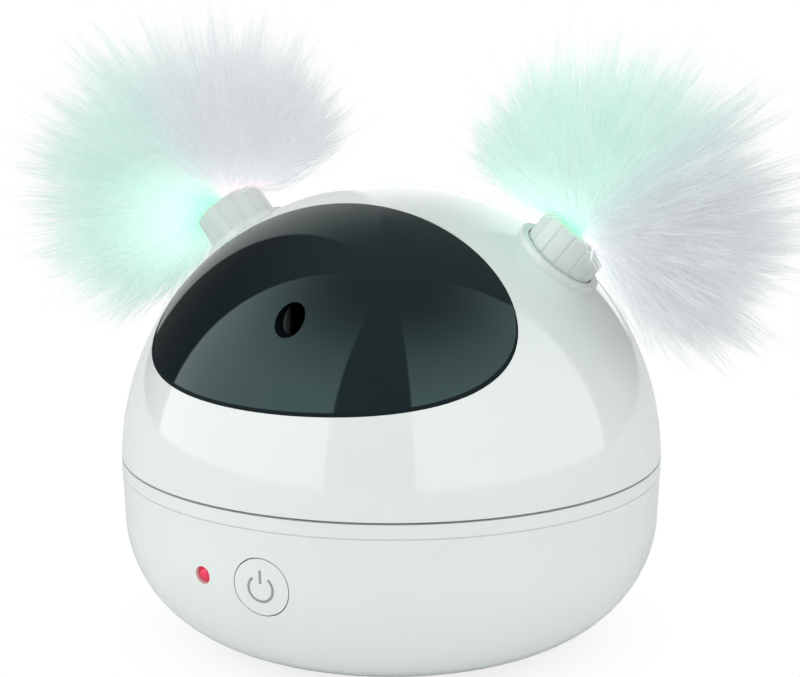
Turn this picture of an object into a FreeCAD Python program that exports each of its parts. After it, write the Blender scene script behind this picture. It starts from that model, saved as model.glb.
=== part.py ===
import FreeCAD, Part
import Sketcher
import math
import os

from FreeCAD import Placement, Rotation, Vector

# Automatic cat laser toy. Millimetres, +Z up, origin on the floor under the middle, front towards -Y.

SIZES = [
    # Outside
    ("dome_radius", 50.0, "outer radius of the half ball and of the bowl's rim"),
    ("wall", 2.2, "wall of the moulded shells"),
    ("foot_proud", 0.8, "how far the feet stand below the bowl"),
    ("foot_radius", 4.0, "radius of a foot"),
    ("foot_recess", 0.6, "depth of a foot's recess"),
    ("foot_circle", 21.0, "radius of the circle of feet"),
    ("bowl_depth", 32.4, "from the ball's centre down to the bowl's flat underside"),
    ("side_draft_angle", 1.6, "lean of the bowl's nearly upright side, in degrees"),
    ("shoulder_radius", 23.0, "radius of the bowl's shoulder in section"),
    ("band_below", 1.3, "from the ball's centre down to the parting line"),
    ("band_above", 1.3, "from the ball's centre up to the top of the band"),
    ("turning_gap", 0.4, "gap between the band and the dome"),
    ("edge_break", 0.25, "bevel at the parting line"),
    # Deck and spindle
    ("deck_thickness", 2.0, "plate that closes the bowl"),
    ("deck_drop", 1.5, "from the top of the band down to the deck's upper face"),
    ("seat_gap", 0.15, "side clearance between moulded pieces that plug together"),
    ("spindle_radius", 5.0, "outer radius of the hollow spindle"),
    ("spindle_bore", 3.0, "radius of the wire passage in the spindle"),
    ("running_fit", 0.05, "radial clearance of a shaft in its bore"),
    ("end_play", 0.1, "axial play of a turning piece"),
    ("washer_radius", 9.0, "outer radius of the thrust washer"),
    ("washer_thickness", 1.2, "thrust washer"),
    ("ring_thickness", 0.8, "retaining ring"),
    ("ring_radius", 7.4, "outer radius of the retaining ring"),
    ("ring_groove", 0.6, "depth of the retaining ring's groove"),
    ("spindle_end", 0.8, "spindle above the retaining ring"),
    # Gears
    ("gear_module", 0.75, "module of the head's drive"),
    ("gear_thickness", 3.2, "width of the head gear's teeth"),
    ("pinion_gap", 0.3, "gap between the pinion and what turns above it"),
    ("tilt_module", 0.5, "module of the tilt drive"),
    ("backlash", 0.12, "play between meshed teeth"),
    ("window_radius", 3.0, "round windows in the head gear"),
    ("window_circle", 11.2, "radius of the circle of windows"),
    # Drive motor
    ("motor_width", 12.0, "width of the motor and gearbox"),
    ("motor_depth", 10.0, "depth of the motor and gearbox"),
    ("gearbox_length", 9.0, "length of the gearbox"),
    ("motor_length", 15.0, "length of the motor can"),
    ("shaft_radius", 1.5, "radius of the motor's output shaft"),
    ("shaft_seat", 6.0, "length of the shaft inside the gearbox"),
    ("motor_screw_pitch", 9.0, "distance between the motor's two screws"),
    # Screws
    ("screw_radius", 1.0, "shank radius of the case screws"),
    ("screw_head", 2.0, "head radius of the case screws"),
    ("screw_head_height", 1.1, "head height of the case screws"),
    ("screw_reach", 7.0, "length of a case screw in its boss"),
    ("small_screw", 0.7, "shank radius of the small screws"),
    ("driver_slot", 0.4, "width of the slot in a screw's head"),
    ("boss_radius", 3.2, "outer radius of a screw boss"),
    ("deck_boss_inset", 9.6, "from the shell's inside to a bowl boss's axis"),
    ("dome_boss_inset", 5.8, "from the shell's inside to a dome boss's axis"),
    # Battery
    ("cell_radius", 7.0, "radius of the battery cell"),
    ("cell_length", 49.0, "length of the battery cell"),
    ("cell_side", 14.0, "from the middle plane to the cell's axis"),
    ("cell_lift", 0.4, "gap between the cell and the bowl's floor"),
    ("rib_thickness", 1.6, "ribs and rails moulded in the bowl"),
    ("rib_inset", 9.0, "from a cell's end to the rib under it"),
    # Boards
    ("board_thickness", 1.6, "circuit boards"),
    ("main_board_width", 28.0, "across"),
    ("main_board_depth", 13.7, "front to back"),
    ("main_board_inset", 7.6, "from the shell's inside to the main board's back edge"),
    ("socket_overhang", 4.6, "how far the charging socket stands past the board's edge"),
    ("main_board_lift", 0.6, "gap between the cell and the main board over it"),
    ("board_post_radius", 2.2, "posts under the main board"),
    ("board_post_inset", 3.0, "from the board's edges to a post's axis"),
    ("socket_width", 9.0, "charging socket"),
    ("socket_height", 3.2, "charging socket"),
    ("socket_length", 7.4, "charging socket"),
    ("socket_wall", 0.35, "sheet metal of the charging socket"),
    ("socket_corner", 1.2, "rounding of the socket's corners"),
    ("tongue_inset", 1.2, "from the socket's sides to its tongue"),
    ("tongue_thickness", 0.7, "tongue of the charging socket"),
    ("slot_margin", 0.3, "clearance of the charging slot round its socket"),
    ("part_row", 5.5, "from a board's edge to its row of parts"),
    ("chip_width", 5.0, "chips, square"),
    ("chip_height", 1.0, "chips"),
    ("chip_side", 1.5, "from the middle plane to the main board's chip"),
    ("coil_radius", 2.5, "coil on the main board"),
    ("coil_height", 3.0, "coil on the main board"),
    ("coil_side", 5.5, "from the middle plane to the coil"),
    ("plug_width", 5.0, "connectors for the wires"),
    ("plug_depth", 4.0, "connectors for the wires"),
    ("plug_height", 4.0, "connectors for the wires"),
    ("plug_side", 9.5, "from the middle plane to the main board's connector"),
    # Front controls
    ("front_board_left", 17.0, "from the middle plane to the board's edge past the light"),
    ("front_board_right", 9.0, "from the middle plane to the board's other edge"),
    ("front_board_tall", 15.0, "height of the front board"),
    ("control_drop", 11.2, "from the ball's centre down to the button and the light"),
    ("button_radius", 5.1, "radius of the button's cap"),
    ("button_gap", 0.2, "gap round the button"),
    ("button_flange", 6.3, "radius of the flange that keeps the button in"),
    ("flange_thickness", 1.2, "button flange"),
    ("flange_inset", 2.6, "from the shell's inside radius to the flange's front face"),
    ("stem_length", 3.0, "button stem between its flange and the switch"),
    ("button_travel", 0.5, "travel of the button"),
    ("switch_width", 6.0, "tact switch"),
    ("switch_depth", 3.5, "tact switch"),
    ("plunger_radius", 1.7, "plunger of the tact switch"),
    ("plunger_proud", 1.5, "plunger above the switch"),
    ("lamp_side", 12.1, "from the middle plane to the red light"),
    ("lamp_radius", 1.5, "radius of a 3 mm lamp"),
    ("lamp_length", 5.3, "length of a 3 mm lamp"),
    ("lamp_flange", 1.9, "radius of the lamp's foot"),
    ("lamp_foot_height", 1.0, "height of the lamp's foot"),
    ("leg_pitch", 2.54, "distance between a lamp's two legs"),
    ("leg_width", 0.5, "legs of a lamp, square"),
    ("lamp_sink", 2.3, "from the ball's radius to the red light's tip"),
    ("lamp_hole_gap", 0.1, "gap round the red light"),
    # Head
    ("plate_thickness", 2.0, "head plate"),
    ("plate_gap", 0.3, "gap between the head plate and the dome's inside"),
    ("slip_clearance", 0.8, "between the slip ring and the dome bosses' circle"),
    ("slip_width", 8.0, "slip ring"),
    ("slip_thickness", 0.9, "slip ring carrier"),
    ("track_thickness", 0.2, "copper tracks"),
    ("track_width", 2.0, "copper tracks"),
    ("track_pitch", 3.6, "distance between the two tracks"),
    ("brush_height", 2.2, "brush block"),
    ("brush_width", 9.0, "brush block"),
    ("brush_gap", 0.3, "gap between the brushes and the tracks"),
    ("spring_length", 8.0, "leaf of a brush spring"),
    ("spring_width", 1.2, "leaf of a brush spring"),
    ("spring_thickness", 0.25, "leaf of a brush spring"),
    # Visor and laser hole
    ("visor_tilt", 48.0, "angle of the visor's cut above level"),
    ("visor_half_width", 34.4, "half width of the visor's opening"),
    ("visor_half_height", 22.7, "half height of the visor's opening"),
    ("visor_gap", 0.12, "gap round the visor"),
    ("visor_lap", 2.0, "rebate that the visor's edge lies in"),
    ("lap_thickness", 1.1, "thickness of the visor's lap"),
    ("beam_height", 32.0, "laser hole above the ball's centre"),
    ("beam_radius", 2.65, "radius of the laser hole"),
    # Laser and its tilt
    ("barrel_margin", 0.5, "room over the laser module under the visor"),
    ("barrel_radius", 3.0, "laser module"),
    ("barrel_length", 14.0, "laser module"),
    ("barrel_front", 6.0, "laser module ahead of its pivot"),
    ("lens_radius", 1.8, "lens of the laser"),
    ("lens_thickness", 1.2, "lens of the laser"),
    ("cradle_width", 9.0, "block that holds the laser module"),
    ("cradle_length", 8.0, "block that holds the laser module"),
    ("trunnion_radius", 1.25, "pivot pins of the cradle"),
    ("arm_thickness", 2.0, "arms of the laser bracket"),
    ("arm_gap", 0.5, "gap between the cradle and an arm"),
    ("arm_width", 9.0, "arms of the laser bracket"),
    ("bracket_foot", 5.0, "feet of the laser bracket"),
    ("sector_thickness", 2.0, "tilt sector"),
    ("tilt_motor_radius", 4.0, "tilt motor"),
    ("tilt_shaft_radius", 0.75, "shaft of the tilt motor"),
    # Ears
    ("ear_turn", 94.3, "angle of an ear round from the front"),
    ("ear_rise", 50.8, "angle of an ear above level"),
    ("hub_radius", 6.8, "ear hub"),
    ("hub_wall", 1.2, "ear hub"),
    ("hub_proud", 7.0, "hub beyond the dome's radius"),
    ("hub_gap", 0.25, "gap between the hub and its collar"),
    ("hub_flange", 1.7, "flange of the hub behind the collar"),
    ("flute_radius", 0.45, "flutes on the hub"),
    ("collar_wall", 1.4, "raised collar round the hub"),
    ("collar_proud", 0.5, "collar beyond the dome's radius"),
    ("collar_tail", 2.0, "collar inside the shell's inner radius"),
    ("hub_lip", 0.3, "lip inside the hub's mouth"),
    ("hub_lip_depth", 2.0, "length of that lip"),
    ("tuft_reach", 36.0, "ear tuft, from the hub's end out along the ear's axis"),
    ("tuft_side_drop", 8.0, "how much shorter the tuft is at its widest angle"),
    ("tuft_fan", 94.0, "the tuft's widest angle off the ear's axis"),
    ("tuft_lift", 0.4, "gap between the tuft and the hub's end"),
    ("tuft_root", 1.8, "depth of the tuft's root in the hub"),
    ("tuft_lip", 0.5, "how far the tuft lies level past the hub's side"),
    ("ear_board_drop", 9.0, "ear board below the hub's end"),
    ("ear_lamp_pitch", 4.2, "distance between the two lamps of an ear"),
    # Head board
    ("head_board_width", 22.0, "across"),
    ("head_board_depth", 16.0, "front to back"),
    ("head_board_middle", 25.0, "from the middle to the head board's middle"),
    ("head_board_lift", 3.0, "height of the posts under it"),
    ("head_post_radius", 2.0, "posts under the head board"),
]

HEAD_TEETH = 48
PINION_TEETH = 12
SECTOR_TEETH = 36
KEPT_TEETH = 8
FLUTE_COUNT = 14
TUFT_FACE_COUNT = 8
PRESSURE_ANGLE = math.radians(20)

doc = FreeCAD.newDocument("CatLaserToy")
sheet = doc.addObject("Spreadsheet::Sheet", "Sizes")


class Size:
    """A number from the sheet, kept together with the formula that gives it."""

    def __init__(self, number, formula):
        self.number = number
        self.formula = formula

    def __add__(self, other):
        return join(self, "+", other, self.number + number_of(other))

    def __sub__(self, other):
        return join(self, "-", other, self.number - number_of(other))

    def __mul__(self, other):
        return join(self, "*", other, self.number * number_of(other))

    def __truediv__(self, other):
        return join(self, "/", other, self.number / number_of(other))

    def __radd__(self, other):
        return size_of(other) + self

    def __rsub__(self, other):
        return size_of(other) - self

    def __rmul__(self, other):
        return size_of(other) * self

    def __neg__(self):
        return size_of(0) - self


def size_of(thing):
    return thing if isinstance(thing, Size) else Size(float(thing), f"({float(thing)})")


def number_of(thing):
    return size_of(thing).number


def join(first, sign, second, number):
    return Size(number, f"({size_of(first).formula} {sign} {size_of(second).formula})")


def root(size):
    return Size(math.sqrt(size.number), f"sqrt({size.formula})")


def turn_of(kind, angle):
    """The sine, cosine or tangent of an angle in degrees."""
    number = {"sin": math.sin, "cos": math.cos, "tan": math.tan}[kind](math.radians(angle.number))
    return Size(number, f"{kind}({angle.formula})")


def other_leg(hypotenuse, leg):
    return root(hypotenuse * hypotenuse - leg * leg)


class Sizes:
    pass


def fill_sheet():
    for row, (name, value, note) in enumerate(SIZES, start=1):
        sheet.set(f"A{row}", name)
        sheet.set(f"B{row}", str(value))
        sheet.set(f"C{row}", note)
        sheet.setAlias(f"B{row}", name)
    doc.recompute()
    for name, value, note in SIZES:
        setattr(Sizes, name, Size(float(sheet.get(name)), f"Sizes.{name}"))


fill_sheet()
S = Sizes
pieces = []


def bind(thing, path, size):
    thing.setExpression(path, size_of(size).formula)


TURNS = {
    "X": Rotation(Vector(0, 1, 0), 90),
    "Y": Rotation(Vector(1, 0, 0), -90),
    "Z": Rotation(),
}


def place(thing, x, y, z, turn=Rotation()):
    thing.Placement = Placement(Vector(number_of(x), number_of(y), number_of(z)), turn)
    bind(thing, "Placement.Base.x", x)
    bind(thing, "Placement.Base.y", y)
    bind(thing, "Placement.Base.z", z)


def cylinder(name, radius, length, x, y, z, along="Z"):
    """A cylinder that starts at the point and runs in the + direction of its axis."""
    thing = doc.addObject("Part::Cylinder", name)
    bind(thing, "Radius", radius)
    bind(thing, "Height", length)
    place(thing, x, y, z, TURNS[along])
    return thing


def box(name, across, deep, tall):
    """A box from its low and high values along X, Y and Z."""
    thing = doc.addObject("Part::Box", name)
    bind(thing, "Length", across[1] - size_of(across[0]))
    bind(thing, "Width", deep[1] - size_of(deep[0]))
    bind(thing, "Height", tall[1] - size_of(tall[0]))
    place(thing, across[0], deep[0], tall[0])
    return thing


def fuse(name, parts):
    thing = doc.addObject("Part::MultiFuse", name)
    thing.Shapes = parts
    return thing


def cut(name, base, tools):
    thing = doc.addObject("Part::Cut", name)
    thing.Base = base
    thing.Tool = tools[0] if len(tools) == 1 else fuse(name + "_tools", tools)
    return thing


def common(name, first, second):
    thing = doc.addObject("Part::Common", name)
    thing.Base = first
    thing.Tool = second
    return thing


def group(name, parts):
    thing = doc.addObject("Part::Compound", name)
    thing.Links = parts
    return thing


def piece(label, thing):
    thing.Label = label
    pieces.append(thing)
    return thing


def new_body(name):
    return doc.addObject("PartDesign::Body", name)


def new_sketch(body, name, plane, offset=0):
    sketch = body.newObject("Sketcher::SketchObject", name)
    support = [item for item in body.Origin.OriginFeatures if item.Role == plane][0]
    sketch.AttachmentSupport = [(support, "")]
    sketch.MapMode = "FlatFace"
    bind(sketch, "AttachmentOffset.Base.z", offset)
    return sketch


def hold(sketch, kind, args, size):
    """Adds a constraint and ties its value to the sheet."""
    index = sketch.addConstraint(Sketcher.Constraint(kind, *args, number_of(size)))
    bind(sketch, f"Constraints[{index}]", size)


def draw_circle(sketch, x, y, radius):
    centre = Vector(number_of(x), number_of(y), 0)
    index = sketch.addGeometry(Part.Circle(centre, Vector(0, 0, 1), number_of(radius)))
    hold(sketch, "DistanceX", (-1, 1, index, 3), x)
    hold(sketch, "DistanceY", (-1, 1, index, 3), y)
    hold(sketch, "Radius", (index,), radius)


def draw_outline(sketch, corners, arcs=None):
    """A closed outline. An arc is given for the corner it leaves: centre, radius and whether it turns left."""
    arcs = arcs or {}
    points = [Vector(number_of(x), number_of(y), 0) for x, y in corners]
    ends = []
    for number, start in enumerate(points):
        stop = points[(number + 1) % len(points)]
        if number in arcs:
            centre_x, centre_y, radius, left = arcs[number]
            centre = Vector(number_of(centre_x), number_of(centre_y), 0)
            first, last = (start, stop) if left else (stop, start)
            circle = Part.Circle(centre, Vector(0, 0, 1), number_of(radius))
            from_angle = math.atan2(first.y - centre.y, first.x - centre.x)
            to_angle = math.atan2(last.y - centre.y, last.x - centre.x)
            index = sketch.addGeometry(Part.ArcOfCircle(circle, from_angle, to_angle))
            ends.append((index, 1, 2) if left else (index, 2, 1))
            hold(sketch, "Radius", (index,), radius)
        else:
            index = sketch.addGeometry(Part.LineSegment(start, stop))
            ends.append((index, 1, 2))
    for number, (x, y) in enumerate(corners):
        index, first, last = ends[number]
        before, _, before_last = ends[number - 1]
        sketch.addConstraint(Sketcher.Constraint("Coincident", before, before_last, index, first))
        hold(sketch, "DistanceX", (-1, 1, index, first), x)
        hold(sketch, "DistanceY", (-1, 1, index, first), y)


def turned(name, corners, arcs=None):
    """A body turned about its Z axis from an outline in its XZ plane."""
    body = new_body(name)
    sketch = new_sketch(body, name + "_outline", "XZ_Plane")
    draw_outline(sketch, corners, arcs)
    revolution = body.newObject("PartDesign::Revolution", name + "_turning")
    revolution.Profile = sketch
    revolution.ReferenceAxis = (sketch, ["V_Axis"])
    revolution.Angle = 360
    return body


def add_pocket(body, sketch, name, depth, forward):
    """A pocket from the sketch; forward is along the sketch's normal."""
    pocket = body.newObject("PartDesign::Pocket", name)
    pocket.Profile = sketch
    pocket.Type = 0
    bind(pocket, "Length", depth)
    pocket.Reversed = forward
    return pocket


def padded(name, plane, offset, corners, thickness, arcs=None):
    """A body padded from an outline along the plane's normal."""
    body = new_body(name)
    sketch = new_sketch(body, name + "_outline", plane, offset)
    draw_outline(sketch, corners, arcs)
    pad = body.newObject("PartDesign::Pad", name + "_pad")
    pad.Profile = sketch
    bind(pad, "Length", thickness)
    return body


def rectangle(low_x, high_x, low_y, high_y):
    return [(low_x, low_y), (high_x, low_y), (high_x, high_y), (low_x, high_y)]


def rounded_rectangle(low_x, high_x, low_y, high_y, radius):
    left, right, low, high = low_x + radius, high_x - radius, low_y + radius, high_y - radius
    corners = [(left, low_y), (right, low_y), (high_x, low), (high_x, high), (right, high_y), (left, high_y),
               (low_x, high), (low_x, low)]
    middles = [(right, low), (right, high), (left, high), (left, low)]
    return corners, {2 * number + 1: (x, y, radius, True) for number, (x, y) in enumerate(middles)}


# Shared heights and places
ball_z = S.foot_proud + S.bowl_depth
rim_z = ball_z - S.band_below
band_top = ball_z + S.band_above
dome_foot = band_top + S.turning_gap
deck_top = band_top - S.deck_drop
deck_under = deck_top - S.deck_thickness
floor_top = S.foot_proud + S.wall
cell_z = floor_top + S.cell_radius + S.cell_lift
inner_radius = S.dome_radius - S.wall
gear_under = deck_top + S.washer_thickness + S.end_play
plate_under = gear_under + S.gear_thickness
plate_top = plate_under + S.plate_thickness
gear_radius = S.gear_module * HEAD_TEETH / 2
drive_distance = S.gear_module * (HEAD_TEETH + PINION_TEETH) / 2
deck_boss_circle = inner_radius - S.deck_boss_inset
dome_boss_circle = inner_radius - S.dome_boss_inset
slip_outer = dome_boss_circle - S.boss_radius - S.slip_clearance
slip_inner = slip_outer - S.slip_width
track_under = plate_under - S.slip_thickness - S.track_thickness
main_board_z = cell_z + S.cell_radius + S.main_board_lift
main_board_back = inner_radius - S.main_board_inset
main_board_front = main_board_back - S.main_board_depth
control_z = ball_z - S.control_drop
flange_face = inner_radius - S.flange_inset
stem_start = S.flange_thickness - flange_face
stem_end = stem_start + S.stem_length
switch_face = stem_end + S.plunger_proud
board_face = switch_face + S.switch_depth
board_back = board_face + S.board_thickness
collar_top = S.dome_radius + S.collar_proud
collar_root = inner_radius - S.collar_tail
hub_end = S.dome_radius + S.hub_proud
beam_z = ball_z + S.beam_height
ring_z = plate_top + S.end_play
spindle_top = ring_z + S.ring_thickness + S.spindle_end


def bowl_section(inset):
    """The bowl's outline in section, moved inwards by the inset: a leaning side, a shoulder arc and a flat."""
    shoulder = S.shoulder_radius - inset
    shoulder_z = S.foot_proud + S.shoulder_radius
    lean = turn_of("tan", S.side_draft_angle)
    across = turn_of("cos", S.side_draft_angle)
    down = turn_of("sin", S.side_draft_angle)
    rise = ball_z - shoulder_z + S.shoulder_radius * down
    shoulder_x = S.dome_radius - rise * lean - S.shoulder_radius * across
    join_x = shoulder_x + shoulder * across
    join_z = shoulder_z - shoulder * down
    rim_x = join_x + (rim_z - join_z) * lean
    corners = [(0, S.foot_proud + inset), (shoulder_x, S.foot_proud + inset), (join_x, join_z), (rim_x, rim_z),
               (0, rim_z)]
    return corners, {1: (shoulder_x, shoulder_z, shoulder, True)}


def ring_places(radius, angles):
    """Points on a circle round the Z axis, by their angle round from the front."""
    places = []
    for angle in angles:
        turn = math.radians(angle)
        places.append((radius * math.sin(turn), radius * -math.cos(turn)))
    return places


FOOT_ANGLES = (45, 135, 225, 315)
BOSS_ANGLES = (60, 120, 240, 300)
DOME_BOSS_ANGLES = (75, 135, 225, 285)


def battery_ribs():
    """Two ribs across the floor, each with a round seat for the cell."""
    blocks = []
    half = S.cell_length / 2 - S.rib_inset
    for number, middle in enumerate((-half, half)):
        span = (S.cell_side - S.cell_radius - S.rib_thickness, S.cell_side + S.cell_radius + S.rib_thickness)
        deep = (middle - S.rib_thickness / 2, middle + S.rib_thickness / 2)
        tall = (S.foot_proud + S.wall / 2, cell_z)
        blocks.append(box(f"battery_rib_{number}", span, deep, tall))
    cell = cylinder("rib_seat", S.cell_radius, S.cell_length, S.cell_side, S.cell_length / -2, cell_z, "Y")
    return cut("battery_ribs", fuse("battery_rib_blocks", blocks), [cell])


def board_rails():
    """Two grooved rails that hold the front board upright."""
    slot = (board_face - S.end_play, board_back + S.end_play)
    deep = (board_face - S.rib_thickness, board_back + S.rib_thickness)
    foot = S.foot_proud + S.wall / 2
    parts = []
    for number, (edge, side) in enumerate(((-S.front_board_left, -1), (S.front_board_right, 1))):
        inner = edge - side * S.rib_thickness
        outer = edge + side * S.rib_thickness
        span = (outer, inner) if side < 0 else (inner, outer)
        rail = box(f"rail_{number}", span, deep, (foot, control_z))
        gap_outer = edge + side * S.end_play
        gap = (gap_outer, inner) if side < 0 else (inner, gap_outer)
        groove = box(f"rail_groove_{number}", gap, slot, (front_board_foot, control_z))
        parts.append(cut(f"grooved_rail_{number}", rail, [groove]))
    return parts


front_board_foot = control_z - S.front_board_tall / 2
board_post_x = S.main_board_width / 2 - S.board_post_inset
board_post_places = [
    (-board_post_x, main_board_back - S.board_post_inset),
    (board_post_x, main_board_back - S.board_post_inset),
]


def make_bowl():
    outside = turned("bowl_outside", *bowl_section(size_of(0)))
    inside = turned("bowl_inside", *bowl_section(S.wall))
    shell = cut("bowl_shell", outside, [inside])
    posts = [battery_ribs()] + board_rails()
    foot = S.foot_proud + S.wall / 2
    for number, (x, y) in enumerate(ring_places(deck_boss_circle, BOSS_ANGLES)):
        posts.append(cylinder(f"bowl_boss_{number}", S.boss_radius, deck_under - foot, x, y, foot))
    for number, (x, y) in enumerate(board_post_places):
        posts.append(cylinder(f"board_post_{number}", S.board_post_radius, main_board_z - foot, x, y, foot))
    kept = common("bowl_fittings", fuse("bowl_posts", posts), turned("bowl_mid_wall", *bowl_section(S.wall / 2)))
    tools = []
    for number, (x, y) in enumerate(ring_places(deck_boss_circle, BOSS_ANGLES)):
        tools.append(cylinder(f"bowl_pilot_{number}", S.screw_radius, S.screw_reach + 1, x, y,
                              deck_under - S.screw_reach))
    for number, (x, y) in enumerate(board_post_places):
        tools.append(cylinder(f"post_pilot_{number}", S.small_screw, 5, x, y, main_board_z - 4))
    for number, (x, y) in enumerate(ring_places(S.foot_circle, FOOT_ANGLES)):
        tools.append(cylinder(f"foot_recess_{number}", S.foot_radius + S.edge_break, S.foot_recess, x, y,
                              S.foot_proud))
    front = -S.dome_radius
    tools.append(cylinder("button_hole", S.button_radius + S.button_gap, S.wall * 3, 0, front, control_z, "Y"))
    tools.append(cylinder("lamp_hole", S.lamp_radius + S.lamp_hole_gap, S.wall * 3, -S.lamp_side, front, control_z,
                          "Y"))
    slot = S.socket_width / 2 + S.slot_margin
    socket_foot = main_board_z + S.board_thickness
    tools.append(box("charging_slot", (-slot, slot), (main_board_back + S.slot_margin, S.dome_radius),
                     (socket_foot - S.slot_margin, socket_foot + S.socket_height + S.slot_margin)))
    return piece("base_bowl", cut("base_bowl", fuse("bowl_with_fittings", [shell, kept]), tools))


def make_deck():
    seat_radius = inner_radius - S.seat_gap
    groove_radius = S.spindle_radius - S.ring_groove
    corners = [
        (S.spindle_bore, deck_under), (seat_radius, deck_under), (seat_radius, rim_z),
        (S.dome_radius - S.edge_break, rim_z), (S.dome_radius, rim_z + S.edge_break),
        (S.dome_radius, band_top), (inner_radius, band_top), (inner_radius, deck_top),
        (S.spindle_radius, deck_top), (S.spindle_radius, ring_z), (groove_radius, ring_z),
        (groove_radius, ring_z + S.ring_thickness), (S.spindle_radius, ring_z + S.ring_thickness),
        (S.spindle_radius, spindle_top), (S.spindle_bore, spindle_top),
    ]
    body = turned("base_deck", corners)
    holes = new_sketch(body, "deck_holes", "XY_Plane", deck_top)
    for x, y in ring_places(deck_boss_circle, BOSS_ANGLES):
        draw_circle(holes, x, y, S.screw_radius + S.edge_break)
    draw_circle(holes, -drive_distance, 0, S.shaft_radius * 2)
    for side in (-1, 1):
        draw_circle(holes, -drive_distance, side * S.motor_screw_pitch / 2, S.small_screw + S.end_play)
    add_pocket(body, holes, "deck_drilling", S.deck_thickness, False)
    return piece("base_deck", body)


def screw(name, radius, head_radius, head_height, reach, x, y, head_z, up):
    """A pan-head screw. head_z is the seat under its head; up says that the head is above the seat."""
    sign = 1 if up else -1
    head_low = head_z if up else head_z - head_height
    shank_low = head_z - reach if up else head_z
    head = cylinder(name + "_head", head_radius, head_height, x, y, head_low)
    shank = cylinder(name + "_shank", radius - S.running_fit, reach, x, y, shank_low)
    slot_low = head_low + head_height / 2 if up else head_low
    slot = box(name + "_slot", (x - head_radius, x + head_radius), (y - S.driver_slot / 2, y + S.driver_slot / 2),
               (slot_low, slot_low + head_height / 2))
    return cut(name, fuse(name + "_blank", [head, shank]), [slot])


def make_deck_screws():
    screws = []
    for number, (x, y) in enumerate(ring_places(deck_boss_circle, BOSS_ANGLES)):
        screws.append(screw(f"deck_screw_{number}", S.screw_radius, S.screw_head, S.screw_head_height,
                            S.deck_thickness + S.screw_reach - 1, x, y, deck_top, True))
    return piece("deck_screws", group("deck_screws", screws))


def make_feet():
    feet = []
    for number, (x, y) in enumerate(ring_places(S.foot_circle, FOOT_ANGLES)):
        feet.append(cylinder(f"foot_{number}", S.foot_radius, S.foot_proud + S.foot_recess, x, y, 0))
    return piece("rubber_feet", group("rubber_feet", feet))


def make_battery():
    can = cylinder("cell_can", S.cell_radius, S.cell_length - 1, S.cell_side, S.cell_length / -2, cell_z, "Y")
    cap = cylinder("cell_cap", S.cell_radius / 3, 1, S.cell_side, S.cell_length / 2 - 1, cell_z, "Y")
    return piece("battery_cell", fuse("battery_cell", [can, cap]))


def block_on(name, x, y, across, deep, tall, board_top):
    """A block that stands on a board, given by its middle."""
    return box(name, (x - across / 2, x + across / 2), (y - deep / 2, y + deep / 2), (board_top, board_top + tall))


def make_main_board():
    half = S.main_board_width / 2
    body = padded("main_board", "XY_Plane", main_board_z,
                  rectangle(-half, half, main_board_front, main_board_back), S.board_thickness)
    holes = new_sketch(body, "main_board_holes", "XY_Plane", main_board_z + S.board_thickness)
    for x, y in board_post_places:
        draw_circle(holes, x, y, S.small_screw + S.end_play)
    add_pocket(body, holes, "main_board_drilling", S.board_thickness, False)
    piece("main_board", body)
    top = main_board_z + S.board_thickness
    row = main_board_front + S.part_row
    chip = block_on("board_chip", -S.chip_side, row, S.chip_width, S.chip_width, S.chip_height, top)
    coil = cylinder("board_coil", S.coil_radius, S.coil_height, S.coil_side, row, top)
    plug = block_on("board_connector", -S.plug_side, row, S.plug_width, S.plug_depth, S.plug_height, top)
    piece("main_board_parts", group("main_board_parts", [chip, coil, plug]))
    screws = []
    for number, (x, y) in enumerate(board_post_places):
        screws.append(screw(f"board_screw_{number}", S.small_screw, S.small_screw * 2, S.small_screw,
                            S.board_thickness + 3, x, y, top, True))
    piece("board_screws", group("board_screws", screws))
    socket_half = S.socket_width / 2
    mouth_y = main_board_back + S.socket_overhang
    socket_back = mouth_y - S.socket_length
    outline, arcs = rounded_rectangle(-socket_half, socket_half, top, top + S.socket_height, S.socket_corner)
    shell = padded("socket_shell", "XZ_Plane", -mouth_y, outline, S.socket_length, arcs)
    inner_half = socket_half - S.socket_wall
    mouth = box("socket_mouth", (-inner_half, inner_half), (socket_back + S.socket_wall * 4, mouth_y),
                (top + S.socket_wall, top + S.socket_height - S.socket_wall))
    tongue_half = socket_half - S.tongue_inset
    tongue_low = top + (S.socket_height - S.tongue_thickness) / 2
    tongue = box("socket_tongue", (-tongue_half, tongue_half), (socket_back + S.socket_wall * 3, mouth_y - 1),
                 (tongue_low, tongue_low + S.tongue_thickness))
    hollow = cut("socket_hollow", shell, [mouth])
    piece("charging_socket", fuse("charging_socket", [hollow, tongue]))


def make_front_board():
    body = padded("front_board", "XZ_Plane", -board_back,
                  rectangle(-S.front_board_left, S.front_board_right, front_board_foot,
                            front_board_foot + S.front_board_tall), S.board_thickness)
    piece("front_board", body)
    half = S.switch_width / 2
    case = box("switch_case", (-half, half), (switch_face, board_face), (control_z - half, control_z + half))
    well = cylinder("switch_well", S.plunger_radius + S.seat_gap, S.switch_depth / 2, 0, switch_face, control_z, "Y")
    piece("tact_switch", cut("tact_switch", case, [well]))


def lamp(name, legs):
    """A 3 mm lamp along +Z with its foot's underside at zero: foot, barrel, round tip and two legs below."""
    straight = S.lamp_length - S.lamp_radius
    foot = S.lamp_foot_height
    corners = [(0, 0), (S.lamp_flange, 0), (S.lamp_flange, foot), (S.lamp_radius, foot),
               (S.lamp_radius, straight), (0, S.lamp_length)]
    bulb = turned(name + "_bulb", corners, {4: (0, straight, S.lamp_radius, True)})
    parts = [bulb]
    for side in (-1, 1):
        middle = side * S.leg_pitch / 2
        half = S.leg_width / 2
        parts.append(box(f"{name}_leg_{side + 1}", (middle - half, middle + half), (-half, half), (-legs, half)))
    return fuse(name, parts)


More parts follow.
